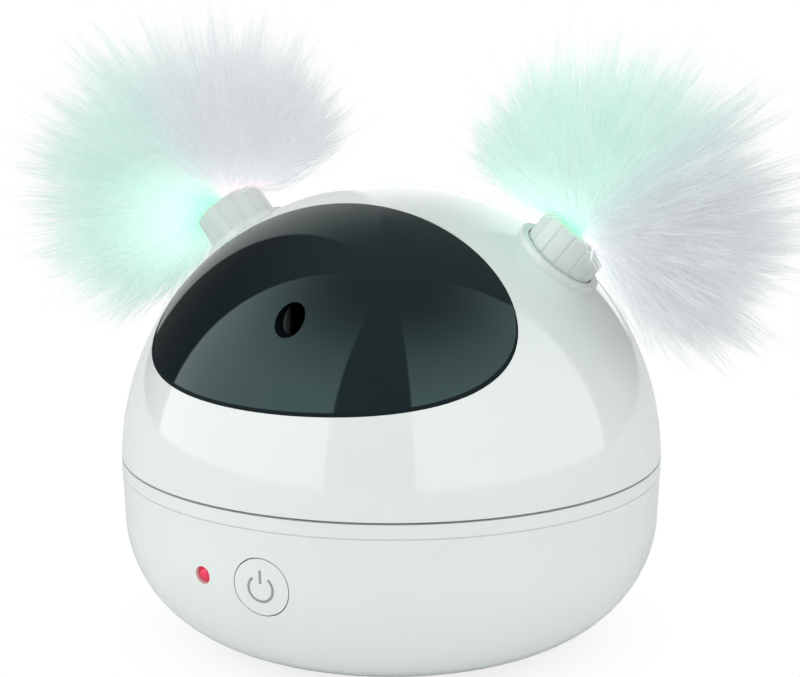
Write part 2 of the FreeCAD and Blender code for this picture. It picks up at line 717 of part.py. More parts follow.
def make_power_led():
    lamp_foot = S.lamp_sink + S.lamp_length - S.dome_radius
    thing = lamp("power_led", board_face - lamp_foot)
    place(thing, -S.lamp_side, lamp_foot, control_z, Rotation(Vector(1, 0, 0), 90))
    return piece("power_led", thing)


def make_button():
    cap_blank = cylinder("cap_blank", S.button_radius, S.dome_radius + stem_start, 0, -S.dome_radius, control_z, "Y")
    cap = common("cap_shaped", cap_blank, turned("cap_skin", *bowl_section(size_of(0))))
    flange = cylinder("cap_flange", S.button_flange, S.flange_thickness, 0, -flange_face, control_z, "Y")
    stem = cylinder("cap_stem", S.plunger_radius, S.stem_length, 0, stem_start, control_z, "Y")
    piece("power_button", fuse("power_button", [cap, flange, stem]))
    depth = S.switch_depth / 2 - S.button_travel - S.end_play
    piece("switch_plunger", cylinder("switch_plunger", S.plunger_radius, S.plunger_proud + depth, 0, stem_end,
                                     control_z, "Y"))


def make_drive_motor():
    top = deck_under
    across = (S.motor_width / -2, S.motor_width / 2)
    deep = (S.motor_depth / -2 - drive_distance, S.motor_depth / 2 - drive_distance)
    case = box("gearbox_case", deep, across, (top - S.gearbox_length, top))
    bore = cylinder("gearbox_bore", S.shaft_radius + S.running_fit, S.shaft_seat + 0.2, -drive_distance, 0,
                    top - S.shaft_seat - 0.2)
    holes = []
    for side in (-1, 1):
        holes.append(cylinder(f"gearbox_hole_{side + 1}", S.small_screw, 3, -drive_distance,
                              side * S.motor_screw_pitch / 2, top - 3))
    piece("motor_gearbox", cut("motor_gearbox", case, [bore] + holes))
    low = top - S.gearbox_length - S.motor_length
    can_round = cylinder("motor_round", S.motor_width / 2, S.motor_length, -drive_distance, 0, low)
    can_box = box("motor_flats", deep, across, (low, top - S.gearbox_length))
    can = common("motor_can", can_round, can_box)
    tail = cylinder("motor_tail", 1.5, 1, -drive_distance, 0, low - 1)
    piece("drive_motor", fuse("drive_motor", [can, tail]))
    screws = []
    for side in (-1, 1):
        screws.append(screw(f"motor_screw_{side + 1}", S.small_screw, S.small_screw * 2, S.small_screw,
                            S.deck_thickness + 2.5, -drive_distance, side * S.motor_screw_pitch / 2, deck_top, True))
    piece("motor_screws", group("motor_screws", screws))


def gear_outline(module, teeth, trim, kept=None):
    """The wire of an involute spur gear. The first tooth points along +X. A sector keeps some of its teeth."""
    pitch = module * teeth / 2
    base = pitch * math.cos(PRESSURE_ANGLE)
    tip = pitch + module
    foot = pitch - 1.25 * module
    half_tooth = math.pi / (2 * teeth) - trim / (2 * pitch)

    def half_angle(radius):
        """Half of the tooth's angle at a radius."""
        if radius <= base:
            return half_tooth + math.tan(PRESSURE_ANGLE) - PRESSURE_ANGLE
        roll = math.sqrt((radius / base) ** 2 - 1)
        return half_tooth + math.tan(PRESSURE_ANGLE) - PRESSURE_ANGLE - (roll - math.atan(roll))

    def at(radius, angle):
        return Vector(radius * math.cos(angle), radius * math.sin(angle), 0)

    start = max(base, foot)
    steps = 4
    radii = [start + (tip - start) * step / steps for step in range(steps + 1)]
    edges = []
    count = kept or teeth
    spacing = 2 * math.pi / teeth
    first_middle = -spacing * (count - 1) / 2 if kept else 0.0
    for number in range(count):
        middle = first_middle + number * spacing
        rising = [at(radius, middle - half_angle(radius)) for radius in radii]
        falling = [at(radius, middle + half_angle(radius)) for radius in reversed(radii)]
        if foot < start:
            edges.append(Part.makeLine(at(foot, middle - half_angle(foot)), rising[0]))
        for curve_points in (rising, falling):
            curve = Part.BSplineCurve()
            curve.interpolate(curve_points)
            edges.append(curve.toShape())
            if curve_points is rising:
                edges.append(Part.Arc(rising[-1], at(tip, middle), falling[0]).toShape())
        if foot < start:
            edges.append(Part.makeLine(falling[-1], at(foot, middle + half_angle(foot))))
        if kept and number == count - 1:
            break
        next_start = middle + spacing - half_angle(foot)
        here = middle + half_angle(foot)
        edges.append(Part.Arc(at(foot, here), at(foot, (here + next_start) / 2), at(foot, next_start)).toShape())
    if kept:
        last = first_middle + (count - 1) * spacing + half_angle(foot)
        first = first_middle - half_angle(foot)
        edges.append(Part.makeLine(at(foot, last), Vector(0, 0, 0)))
        edges.append(Part.makeLine(Vector(0, 0, 0), at(foot, first)))
    return Part.Wire(Part.__sortEdges__(edges))


def gear_solid(module, teeth, width, kept=None):
    wire = gear_outline(module, teeth, S.backlash.number, kept)
    return Part.Face(wire).extrude(Vector(0, 0, width))


def plain(name, shape, placement=Placement()):
    thing = doc.addObject("Part::Feature", name)
    thing.Shape = shape
    thing.Placement = placement
    return thing


def make_drive():
    """The gear has a gap where the pinion has its tooth, so that the two mesh at rest."""
    width = S.gear_thickness.number
    gear = gear_solid(S.gear_module.number, HEAD_TEETH, width)
    half_pitch = Rotation(Vector(0, 0, 1), 180 / HEAD_TEETH)
    blank = plain("gear_blank", gear, Placement(Vector(0, 0, gear_under.number), half_pitch))
    bore = cylinder("gear_bore", S.spindle_radius + S.running_fit, S.gear_thickness, 0, 0, gear_under)
    windows = []
    for number, (x, y) in enumerate(ring_places(S.window_circle, range(0, 360, 60))):
        windows.append(cylinder(f"gear_window_{number}", S.window_radius, S.gear_thickness, x, y, gear_under))
    piece("head_gear", cut("head_gear", blank, [bore] + windows))
    pinion_width = track_under - S.pinion_gap - gear_under
    pinion = gear_solid(S.gear_module.number, PINION_TEETH, pinion_width.number)
    pinion_place = Placement(Vector(-drive_distance.number, 0, gear_under.number), Rotation())
    pinion_blank = plain("pinion_blank", pinion, pinion_place)
    hole = cylinder("pinion_bore", S.shaft_radius, pinion_width, -drive_distance, 0, gear_under)
    piece("drive_pinion", cut("drive_pinion", pinion_blank, [hole]))
    shaft_foot = deck_under - S.shaft_seat
    piece("motor_shaft", cylinder("motor_shaft", S.shaft_radius, gear_under + pinion_width - shaft_foot,
                                  -drive_distance, 0, shaft_foot))


def make_spindle_fittings():
    corners = rectangle(S.spindle_radius + S.end_play, S.washer_radius, deck_top, deck_top + S.washer_thickness)
    piece("thrust_washer", turned("thrust_washer", corners))
    groove = S.spindle_radius - S.ring_groove
    ring = turned("ring_blank", rectangle(groove, S.ring_radius, ring_z, ring_z + S.ring_thickness))
    slit_half = S.spindle_end * 2
    slit = box("ring_slit", (-slit_half, slit_half), (0, S.ring_radius + 1), (ring_z, ring_z + S.ring_thickness))
    piece("retaining_ring", cut("retaining_ring", ring, [slit]))


def make_brushes():
    middle = (slip_inner + slip_outer) / 2
    half = S.brush_width / 2
    block = box("brush_case", (-half, half), (middle - half, middle + half), (deck_top, deck_top + S.brush_height))
    piece("brush_block", block)
    springs = []
    leaf_half = S.spring_length / 2
    for side in (-1, 1):
        y = middle + side * S.track_pitch / 2
        low = deck_top + S.brush_height
        high = track_under - S.brush_gap
        deep = (y - S.spring_width / 2, y + S.spring_width / 2)
        foot = box(f"spring_foot_{side + 1}", (-leaf_half, -leaf_half / 2), deep, (low, high))
        leaf = box(f"spring_leaf_{side + 1}", (-leaf_half, leaf_half), deep, (high - S.spring_thickness, high))
        springs.append(fuse(f"brush_spring_{side + 1}", [foot, leaf]))
    piece("brush_springs", group("brush_springs", springs))
    piece("slip_ring", turned("slip_ring", rectangle(slip_inner, slip_outer, plate_under - S.slip_thickness,
                                                     plate_under)))
    tracks = []
    for side in (-1, 1):
        inner = middle + side * S.track_pitch / 2 - S.track_width / 2
        tracks.append(turned(f"slip_track_{side + 1}", rectangle(inner, inner + S.track_width, track_under,
                                                                 track_under + S.track_thickness)))
    piece("slip_ring_tracks", group("slip_ring_tracks", tracks))


def ear_frame(side):
    """A frame at the ball's centre whose Z axis points out through an ear; side is -1 or 1 along X."""
    turn = math.radians(S.ear_turn.number)
    rise = math.radians(S.ear_rise.number)
    axis = Vector(side * math.sin(turn) * math.cos(rise), -math.cos(turn) * math.cos(rise), math.sin(rise))
    return Placement(Vector(0, 0, ball_z.number), Rotation(Vector(0, 0, 1), axis))


def on_ear(thing, side):
    thing.Placement = ear_frame(side).multiply(thing.Placement)
    return thing


def ear_cylinder(name, side, radius, low, high):
    thing = doc.addObject("Part::Cylinder", name)
    bind(thing, "Radius", radius)
    bind(thing, "Height", high - low)
    thing.Placement = Placement(Vector(0, 0, low.number), Rotation())
    return on_ear(thing, side)


def visor_prism(name, grow):
    """The visor's elliptical cut, from inside the ball out through its front."""
    ellipse = doc.addObject("Part::Ellipse", name + "_ellipse")
    bind(ellipse, "MajorRadius", S.visor_half_width + grow)
    bind(ellipse, "MinorRadius", S.visor_half_height + grow)
    tilt = Rotation(Vector(1, 0, 0), 90 - S.visor_tilt.number)
    ellipse.Placement = Placement(Vector(0, 0, ball_z.number), tilt)
    prism = doc.addObject("Part::Extrusion", name)
    prism.Base = ellipse
    prism.DirMode = "Normal"
    bind(prism, "LengthFwd", S.dome_radius * 1.2)
    prism.Solid = True
    return prism


def shell_part(name, outer, inner, foot):
    """A half ball's shell above a level foot."""
    corners = [(other_leg(inner, foot - ball_z), foot), (other_leg(outer, foot - ball_z), foot),
               (0, ball_z + outer), (0, ball_z + inner)]
    arcs = {1: (0, ball_z, outer, True), 3: (0, ball_z, inner, False)}
    return turned(name, corners, arcs)


def make_dome():
    shell = shell_part("dome_shell", S.dome_radius, inner_radius, dome_foot)
    bosses = []
    for number, (x, y) in enumerate(ring_places(dome_boss_circle, DOME_BOSS_ANGLES)):
        bosses.append(cylinder(f"dome_boss_{number}", S.boss_radius, S.dome_radius * 0.7, x, y, plate_top))
    ball = doc.addObject("Part::Sphere", "dome_ball")
    bind(ball, "Radius", S.dome_radius - S.wall / 2)
    place(ball, 0, 0, ball_z)
    kept = common("dome_fittings", fuse("dome_bosses", bosses), ball)
    parts = [shell, kept]
    tools = [visor_prism("visor_opening", size_of(0))]
    for side in (-1, 1):
        hole = S.hub_radius + S.hub_gap
        parts.append(ear_cylinder(f"collar_{side + 1}", side, hole + S.collar_wall, collar_root, collar_top))
        tools.append(ear_cylinder(f"collar_bore_{side + 1}", side, hole, collar_root - 1, collar_top + 1))
    for number, (x, y) in enumerate(ring_places(dome_boss_circle, DOME_BOSS_ANGLES)):
        tools.append(cylinder(f"dome_pilot_{number}", S.screw_radius, S.screw_reach, x, y, plate_top))
    lap_ball = doc.addObject("Part::Sphere", "lap_ball")
    bind(lap_ball, "Radius", inner_radius + S.lap_thickness + S.end_play)
    place(lap_ball, 0, 0, ball_z)
    tools.append(common("visor_rebate", visor_prism("rebate_prism", S.visor_lap + S.visor_gap), lap_ball))
    piece("head_dome", cut("head_dome", fuse("dome_with_fittings", parts), tools))


def make_visor():
    skin = shell_part("visor_skin", S.dome_radius, inner_radius, dome_foot)
    lap = shell_part("visor_lap_shell", inner_radius + S.lap_thickness, inner_radius, dome_foot)
    face = common("visor_face", skin, visor_prism("visor_cut", -S.visor_gap))
    edge = common("visor_edge", lap, visor_prism("visor_lap_cut", S.visor_lap))
    beam = cylinder("beam_hole", S.beam_radius, S.dome_radius, 0, -S.dome_radius, beam_z, "Y")
    piece("visor", cut("visor", fuse("visor_blank", [face, edge]), [beam]))


def make_head_plate():
    reach = other_leg(inner_radius, plate_top - ball_z) - S.plate_gap
    bore = S.spindle_radius + S.running_fit
    body = turned("head_plate", rectangle(bore, reach, plate_under, plate_top))
    holes = new_sketch(body, "head_plate_holes", "XY_Plane", plate_top)
    for x, y in ring_places(dome_boss_circle, DOME_BOSS_ANGLES):
        draw_circle(holes, x, y, S.screw_radius + S.end_play)
    for x, y in bracket_screw_places:
        draw_circle(holes, x, y, S.small_screw)
    for x, y in head_board_posts:
        draw_circle(holes, x, y, S.small_screw)
    add_pocket(body, holes, "head_plate_drilling", S.plate_thickness, False)
    piece("head_plate", body)
    screws = []
    for number, (x, y) in enumerate(ring_places(dome_boss_circle, DOME_BOSS_ANGLES)):
        screws.append(screw(f"head_screw_{number}", S.screw_radius, S.screw_head, S.screw_head_height,
                            S.plate_thickness + S.screw_reach - 1, x, y, plate_under, False))
    piece("head_screws", group("head_screws", screws))


barrel_top = S.beam_height + S.barrel_radius + S.barrel_margin
pivot_y = S.barrel_front - other_leg(inner_radius, barrel_top)
arm_inner = S.cradle_width / 2 + S.arm_gap
arm_outer = arm_inner + S.arm_thickness
tilt_distance = S.tilt_module * (SECTOR_TEETH + PINION_TEETH) / 2
bracket_screw_places = [
    (-(arm_outer + S.bracket_foot / 2), pivot_y),
    (arm_outer + S.bracket_foot / 2, pivot_y),
]
head_post_x = S.head_board_width / 2 - S.board_post_inset
head_board_posts = [(-head_post_x, S.head_board_middle), (head_post_x, S.head_board_middle)]


def make_bracket():
    low = pivot_y - S.arm_width / 2
    high = pivot_y + S.arm_width / 2
    foot_top = plate_top + S.arm_thickness
    parts = []
    for side in (-1, 1):
        inner = side * arm_inner
        outer = side * arm_outer
        far = side * (arm_outer + S.bracket_foot)
        span = (outer, inner) if side < 0 else (inner, outer)
        foot_span = (far, inner) if side < 0 else (inner, far)
        parts.append(box(f"bracket_arm_{side + 1}", span, (low, high), (plate_top, beam_z)))
        parts.append(cylinder(f"bracket_eye_{side + 1}", S.arm_width / 2, S.arm_thickness, span[0], pivot_y, beam_z,
                              "X"))
        parts.append(box(f"bracket_foot_{side + 1}", foot_span, (low, high), (plate_top, foot_top)))
    shelf_top = beam_z - tilt_distance - S.tilt_motor_radius
    across = (-arm_inner, arm_inner)
    parts.append(box("bracket_shelf", across, (low, high), (shelf_top - S.arm_thickness, shelf_top)))
    parts.append(box("bracket_web", across, (high - S.arm_thickness, high), (plate_top, shelf_top)))
    tools = [cylinder("bracket_bore", S.trunnion_radius + S.running_fit, arm_outer * 2 + 1, -arm_outer - 0.5, pivot_y,
                      beam_z, "X")]
    tools.append(cylinder("tilt_shaft_hole", S.tilt_shaft_radius + 0.5, S.arm_thickness, arm_inner, pivot_y,
                          beam_z - tilt_distance, "X"))
    for number, (x, y) in enumerate(bracket_screw_places):
        tools.append(cylinder(f"bracket_hole_{number}", S.small_screw + S.end_play, S.arm_thickness, x, y,
                              plate_top))
    piece("laser_bracket", cut("laser_bracket", fuse("bracket_blank", parts), tools))
    screws = []
    for number, (x, y) in enumerate(bracket_screw_places):
        screws.append(screw(f"bracket_screw_{number}", S.small_screw, S.small_screw * 2, S.small_screw,
                            S.plate_thickness + S.arm_thickness, x, y, foot_top, True))
    piece("bracket_screws", group("bracket_screws", screws))
    motor_length = arm_inner * 2 - S.arm_gap
    piece("tilt_motor", cylinder("tilt_motor", S.tilt_motor_radius, motor_length - 0.5, arm_inner - motor_length + 0.5,
                                 pivot_y, beam_z - tilt_distance, "X"))


def make_laser():
    half = S.cradle_width / 2
    low = pivot_y - S.cradle_length / 2
    high = pivot_y + S.cradle_length / 2
    block = box("cradle_block", (-half, half), (low, high), (beam_z - half, beam_z + half))
    pins = []
    for side in (-1, 1):
        reach = arm_outer + S.end_play
        if side > 0:
            reach = reach + S.end_play + S.sector_thickness
        start = -reach if side < 0 else half
        pins.append(cylinder(f"trunnion_{side + 1}", S.trunnion_radius, reach - half, start, pivot_y, beam_z, "X"))
    bore = cylinder("cradle_bore", S.barrel_radius, S.cradle_length, 0, low, beam_z, "Y")
    slit = box("cradle_slit", (-0.4, size_of(0.4)), (low, high), (beam_z + S.barrel_radius - 0.5, beam_z + half))
    piece("laser_cradle", cut("laser_cradle", fuse("cradle_blank", [block] + pins), [bore, slit]))
    front = pivot_y - S.barrel_front
    body = turned("laser_barrel", [
        (0, S.lens_thickness), (S.lens_radius, S.lens_thickness), (S.lens_radius, 0),
        (S.barrel_radius - 0.3, 0), (S.barrel_radius, size_of(0.3)), (S.barrel_radius, S.barrel_length),
        (0, S.barrel_length),
    ])
    place(body, 0, front, beam_z, TURNS["Y"])
    piece("laser_barrel", body)
    lens = turned("laser_lens", rectangle(0, S.lens_radius, size_of(0.2), S.lens_thickness))
    place(lens, 0, front, beam_z, TURNS["Y"])
    piece("laser_lens", lens)


def make_tilt_drive():
    """The sector hangs below the pivot and meshes with the pinion under it."""
    width = S.sector_thickness.number
    sector_x = arm_outer + S.end_play * 2
    down = Rotation(Vector(0, 1, 0), 90)
    sector = gear_solid(S.tilt_module.number, SECTOR_TEETH, width, KEPT_TEETH)
    hub = Part.makeCylinder(S.trunnion_radius.number + 1.2, width)
    pin = Part.makeCylinder(S.trunnion_radius.number, width)
    sector = sector.fuse(hub).cut(pin)
    place_sector = Placement(Vector(sector_x.number, pivot_y.number, beam_z.number), down)
    piece("tilt_sector", plain("tilt_sector", sector, place_sector))
    pinion = gear_solid(S.tilt_module.number, PINION_TEETH, width)
    shaft = Part.makeCylinder(S.tilt_shaft_radius.number, width + arm_outer.number - arm_inner.number + 0.2,
                              Vector(0, 0, arm_inner.number - sector_x.number))
    pinion_place = Placement(Vector(sector_x.number, pivot_y.number, (beam_z - tilt_distance).number), down)
    piece("tilt_pinion", plain("tilt_pinion", pinion.fuse(shaft), pinion_place))


def make_head_board():
    board_z = plate_top + S.head_board_lift
    half = S.head_board_width / 2
    front = S.head_board_middle - S.head_board_depth / 2
    back = S.head_board_middle + S.head_board_depth / 2
    body = padded("head_board", "XY_Plane", board_z, rectangle(-half, half, front, back), S.board_thickness)
    piece("head_board", body)
    top = board_z + S.board_thickness
    chip = block_on("head_chip", S.chip_side, front + S.part_row, S.chip_width, S.chip_width, S.chip_height, top)
    plug = block_on("head_connector", S.plug_width - half, back - S.part_row, S.plug_width, S.plug_depth,
                    S.plug_height, top)
    piece("head_board_parts", group("head_board_parts", [chip, plug]))
    posts = []
    for number, (x, y) in enumerate(head_board_posts):
        posts.append(cylinder(f"head_post_{number}", S.head_post_radius, S.head_board_lift, x, y, plate_top))
    piece("head_board_posts", group("head_board_posts", posts))


def tuft_outline(root_radius, lip_radius):
    """A root in the hub, a level lip over the hub's end and the fluff's rounded fan, from its back to its top."""
    root_z = hub_end - S.tuft_root
    lip_z = hub_end + S.tuft_lift
    corners = [(0, root_z), (root_radius, root_z), (root_radius, lip_z), (lip_radius, lip_z)]
    for number in range(TUFT_FACE_COUNT, 0, -1):
        share = number / TUFT_FACE_COUNT
        angle = S.tuft_fan * share
        reach = S.tuft_reach - S.tuft_side_drop * share ** 3
        corners.append((reach * turn_of("sin", angle), hub_end + reach * turn_of("cos", angle)))
    return corners + [(0, hub_end + S.tuft_reach)]


def make_ear(side, word):
    flange_low = collar_root - S.hub_flange
    outer = S.hub_radius
    inner = S.hub_radius - S.hub_wall
    mouth = inner - S.hub_lip
    flange_radius = S.hub_radius + S.hub_gap + S.collar_wall
    corners = [
        (inner, flange_low), (flange_radius, flange_low), (flange_radius, collar_root), (outer, collar_root),
        (outer, hub_end - S.edge_break), (outer - S.edge_break, hub_end), (mouth, hub_end),
        (mouth, hub_end - S.hub_lip_depth), (inner, hub_end - S.hub_lip_depth),
    ]
    hub = turned(f"hub_{word}", corners)
    groove = new_sketch(hub, f"hub_flute_{word}", "XY_Plane", hub_end)
    draw_circle(groove, outer + S.flute_radius / 2, 0, S.flute_radius)
    pocket = add_pocket(hub, groove, f"hub_fluting_{word}", hub_end - collar_top, False)
    doc.recompute()
    pattern = hub.newObject("PartDesign::PolarPattern", f"hub_flutes_{word}")
    pattern.Originals = [pocket]
    pattern.Axis = (groove, ["N_Axis"])
    pattern.Angle = 360
    pattern.Occurrences = FLUTE_COUNT
    hub.Tip = pattern
    piece(f"ear_hub_{word}", on_ear(hub, side))
    tuft = turned(f"tuft_{word}", tuft_outline(mouth - S.end_play, outer + S.tuft_lip))
    piece(f"ear_tuft_{word}", on_ear(tuft, side))
    board_low = hub_end - S.ear_board_drop
    board = turned(f"disc_{word}", rectangle(0, inner - S.end_play, board_low - S.board_thickness, board_low))
    piece(f"ear_board_{word}", on_ear(board, side))
    for colour, way in (("green", -1), ("red", 1)):
        bulb = lamp(f"led_{colour}_{word}", size_of(0.2))
        bulb.Placement = Placement(Vector(way * S.ear_lamp_pitch.number / 2, 0, board_low.number + 0.2),
                                   Rotation(Vector(0, 0, 1), 90))
        piece(f"ear_led_{colour}_{word}", on_ear(bulb, side))


make_bowl()
make_deck()
make_deck_screws()
make_feet()
make_battery()
make_main_board()
make_front_board()
make_power_led()
make_button()
make_drive_motor()
make_drive()
make_spindle_fittings()
make_brushes()
make_dome()
make_visor()
make_head_plate()
make_bracket()
make_laser()
make_tilt_drive()
make_head_board()
make_ear(-1, "left")
make_ear(1, "right")

doc.recompute()
for thing in doc.Objects:
    if "Invalid" in thing.State or "Error" in thing.State:
        raise RuntimeError(f"{thing.Name} is {thing.State}")
for thing in pieces:
    if thing.Shape.isNull() or not thing.Shape.isValid():
        raise RuntimeError(f"{thing.Label} has no valid shape")
os.makedirs("parts", exist_ok=True)
for thing in pieces:
    thing.Shape.exportStep(f"parts/{thing.Label}.step")
    print(thing.Label, len(thing.Shape.Solids), round(thing.Shape.Volume, 1))
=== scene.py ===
import math

import bpy
import numpy as np
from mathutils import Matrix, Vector
from mathutils.bvhtree import BVHTree


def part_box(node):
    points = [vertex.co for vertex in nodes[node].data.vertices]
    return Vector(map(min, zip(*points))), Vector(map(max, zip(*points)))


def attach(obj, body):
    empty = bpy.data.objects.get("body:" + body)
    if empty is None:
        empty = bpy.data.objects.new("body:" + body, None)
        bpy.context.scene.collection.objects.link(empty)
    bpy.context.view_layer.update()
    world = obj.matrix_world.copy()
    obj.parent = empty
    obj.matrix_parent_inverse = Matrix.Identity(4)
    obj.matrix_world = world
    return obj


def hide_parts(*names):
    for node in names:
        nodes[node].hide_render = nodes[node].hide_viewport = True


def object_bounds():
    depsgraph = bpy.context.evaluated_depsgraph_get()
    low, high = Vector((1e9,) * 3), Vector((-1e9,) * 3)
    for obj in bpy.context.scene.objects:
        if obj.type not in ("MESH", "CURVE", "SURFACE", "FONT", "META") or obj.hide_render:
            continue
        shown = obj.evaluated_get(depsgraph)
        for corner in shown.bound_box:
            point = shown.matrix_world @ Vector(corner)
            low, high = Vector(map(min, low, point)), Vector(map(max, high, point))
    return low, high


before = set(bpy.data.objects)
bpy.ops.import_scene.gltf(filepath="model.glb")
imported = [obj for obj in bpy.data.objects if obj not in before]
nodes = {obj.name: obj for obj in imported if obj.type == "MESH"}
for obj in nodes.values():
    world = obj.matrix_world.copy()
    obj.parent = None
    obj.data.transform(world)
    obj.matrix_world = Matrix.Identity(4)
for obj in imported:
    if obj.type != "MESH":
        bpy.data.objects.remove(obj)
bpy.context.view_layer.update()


# Bowl
# The lower half of the case: a glossy white injection-moulded shell with a flat underside.
# Everything that stands still is screwed, clipped or glued into it.
WHITE = (0.82, 0.86, 0.845)
WHITE_SHADE = (0.795, 0.835, 0.82)
PEEL = 0.0016
PEEL_DEPTH = 0.000003
CLOUD_GRAINS = 12
DULLEST = 1.25
BRIGHTEST = 0.8


def principled(name):
    """A new material with its node tree and its shader."""
    material = bpy.data.materials.new(name)
    material.use_nodes = True
    return material, material.node_tree, material.node_tree.nodes["Principled BSDF"]


def add_node(tree, kind, **sockets):
    node = tree.nodes.new(kind)
    for name, value in sockets.items():
        node.inputs[name.replace("_", " ")].default_value = value
    return node


def noise_on(tree, size, detail=3.0, stretch=(1, 1, 1)):
    """Noise whose lumps are about the size given in metres, fixed to the piece."""
    place = tree.nodes.new("ShaderNodeTexCoord")
    turn = add_node(tree, "ShaderNodeMapping", Scale=stretch)
    tree.links.new(place.outputs["Object"], turn.inputs["Vector"])
    noise = add_node(tree, "ShaderNodeTexNoise", Scale=1 / size, Detail=detail)
    tree.links.new(turn.outputs["Vector"], noise.inputs["Vector"])
    return noise


def spread(tree, source, low, high, socket):
    """Maps a 0 to 1 source to a range and feeds it to a socket."""
    ramp = add_node(tree, "ShaderNodeMapRange", To_Min=low, To_Max=high)
    tree.links.new(source, ramp.inputs["Value"])
    tree.links.new(ramp.outputs["Result"], socket)


def tint(tree, source, first, second, socket):
    """Mixes two colours by a 0 to 1 source and feeds a socket."""
    mix = tree.nodes.new("ShaderNodeMix")
    mix.data_type = "RGBA"
    mix.inputs["A"].default_value = (*first, 1)
    mix.inputs["B"].default_value = (*second, 1)
    tree.links.new(source, mix.inputs["Factor"])
    tree.links.new(mix.outputs["Result"], socket)


def dimple(tree, shader, source, height, strength=0.3):
    bump = add_node(tree, "ShaderNodeBump", Strength=strength, Distance=height)
    tree.links.new(source, bump.inputs["Height"])
    tree.links.new(bump.outputs["Normal"], shader.inputs["Normal"])


def moulded(name, light, shade, rough, grain, height, **sockets):
    """Moulded plastic: faint clouds of colour, uneven polish and a fine skin."""
    material, tree, shader = principled(name)
    cloud = noise_on(tree, grain * CLOUD_GRAINS)
    skin = noise_on(tree, grain)
    tint(tree, cloud.outputs["Fac"], shade, light, shader.inputs["Base Color"])
    spread(tree, cloud.outputs["Fac"], rough * BRIGHTEST, rough * DULLEST, shader.inputs["Roughness"])
    dimple(tree, shader, skin.outputs["Fac"], height)
    for socket, value in sockets.items():
        shader.inputs[socket.replace("_", " ")].default_value = value
    return material


def dress(material, *names):
    for name in names:
        for slot in nodes[name].material_slots:
            slot.material = material


white_gloss = moulded("white_gloss", WHITE, WHITE_SHADE, 0.08, PEEL, PEEL_DEPTH,
                      Coat_Weight=0.3, Coat_Roughness=0.03)
dress(white_gloss, "base_bowl")


# Feet
# Four small round pads of dark grey rubber, moulded with a dull skin.
# They are pressed into shallow round recesses under the bowl.
foot_rubber = moulded("foot_rubber", (0.05, 0.05, 0.055), (0.03, 0.03, 0.033), 0.75, 0.0004, 0.00003)
dress(foot_rubber, "rubber_feet")


# Battery cell
# A round lithium cell in a blue plastic sleeve, shrunk on with heat.
# It lies in two ribs of the bowl, under the main board.
cell_sleeve = moulded("cell_sleeve", (0.05, 0.20, 0.42), (0.04, 0.16, 0.36), 0.28, 0.0009, 0.00001,
                      Coat_Weight=0.4)
dress(cell_sleeve, "battery_cell")


# Circuit boards
# Glass-fibre boards in green lacquer, with fine tracks under it. The main one is screwed to two posts,
# the front one stands in two rails, and each ear hub holds a small round one.
TRACK_PITCH = 0.0014
TRACK_INSIDE = 0.32
TRACK_OUTSIDE = 0.40
TRACK_DEPTH = 0.00003
LACQUER = (0.012, 0.13, 0.055)
LACQUER_ON_TRACK = (0.03, 0.22, 0.10)


def circuit_board():
    material, tree, shader = principled("board_green")
    place = tree.nodes.new("ShaderNodeTexCoord")
    tracks = add_node(tree, "ShaderNodeTexVoronoi", Scale=1 / TRACK_PITCH, Randomness=0.35)
    tracks.distance = "CHEBYCHEV"
    tree.links.new(place.outputs["Object"], tracks.inputs["Vector"])
    edge = add_node(tree, "ShaderNodeMapRange", From_Min=TRACK_INSIDE, From_Max=TRACK_OUTSIDE)
    tree.links.new(tracks.outputs["Distance"], edge.inputs["Value"])
    tint(tree, edge.outputs["Result"], LACQUER, LACQUER_ON_TRACK, shader.inputs["Base Color"])
    spread(tree, edge.outputs["Result"], 0.30, 0.42, shader.inputs["Roughness"])
    dimple(tree, shader, edge.outputs["Result"], TRACK_DEPTH)
    shader.inputs["Coat Weight"].default_value = 0.4
    return material


board_green = circuit_board()
black_parts = moulded("black_parts", (0.035, 0.035, 0.04), (0.022, 0.022, 0.026), 0.45, 0.0005, 0.00001)
dress(board_green, "main_board", "front_board")
dress(black_parts, "main_board_parts", "tact_switch", "switch_plunger")


# Steel pieces
# Screws, the motor's can and gearbox, the charging socket and the spring ring: bright steel,
# turned or pressed, so the fine scratches run one way.
SCRATCH_WIDTH = 0.0007
SCRATCH_STRETCH = (1, 1, 12)
SCRATCH_DEPTH = 0.000006


def steel_of(name, colour, rough):
    material, tree, shader = principled(name)
    scratches = noise_on(tree, SCRATCH_WIDTH, stretch=SCRATCH_STRETCH)
    dull = tuple(channel * 0.8 for channel in colour)
    tint(tree, scratches.outputs["Fac"], dull, colour, shader.inputs["Base Color"])
    spread(tree, scratches.outputs["Fac"], rough * 0.7, rough * 1.4, shader.inputs["Roughness"])
    dimple(tree, shader, scratches.outputs["Fac"], SCRATCH_DEPTH)
    shader.inputs["Metallic"].default_value = 1.0
    return material


bright_steel = steel_of("bright_steel", (0.60, 0.61, 0.62), 0.28)
dress(bright_steel, "board_screws", "charging_socket", "motor_screws", "drive_motor", "motor_gearbox",
      "motor_shaft", "deck_screws", "retaining_ring")


# Power light
# A 3 mm lamp of clear red plastic, cast round its wires and soldered to the front board.
# Its round tip stands in a small hole beside the button.
LAMP_CLOUD = 0.002
LAMP_RED = (0.70, 0.02, 0.08)
LAMP_RED_GLOW = (0.75, 0.01, 0.06)


def lamp_plastic(name, colour, glow, strength):
    material, tree, shader = principled(name)
    cloud = noise_on(tree, LAMP_CLOUD)
    deep = tuple(channel * 0.6 for channel in colour)
    tint(tree, cloud.outputs["Fac"], deep, colour, shader.inputs["Base Color"])
    spread(tree, cloud.outputs["Fac"], 0.06, 0.14, shader.inputs["Roughness"])
    shader.inputs["Emission Color"].default_value = (*glow, 1)
    shader.inputs["Emission Strength"].default_value = strength
    shader.inputs["Coat Weight"].default_value = 0.5
    return material


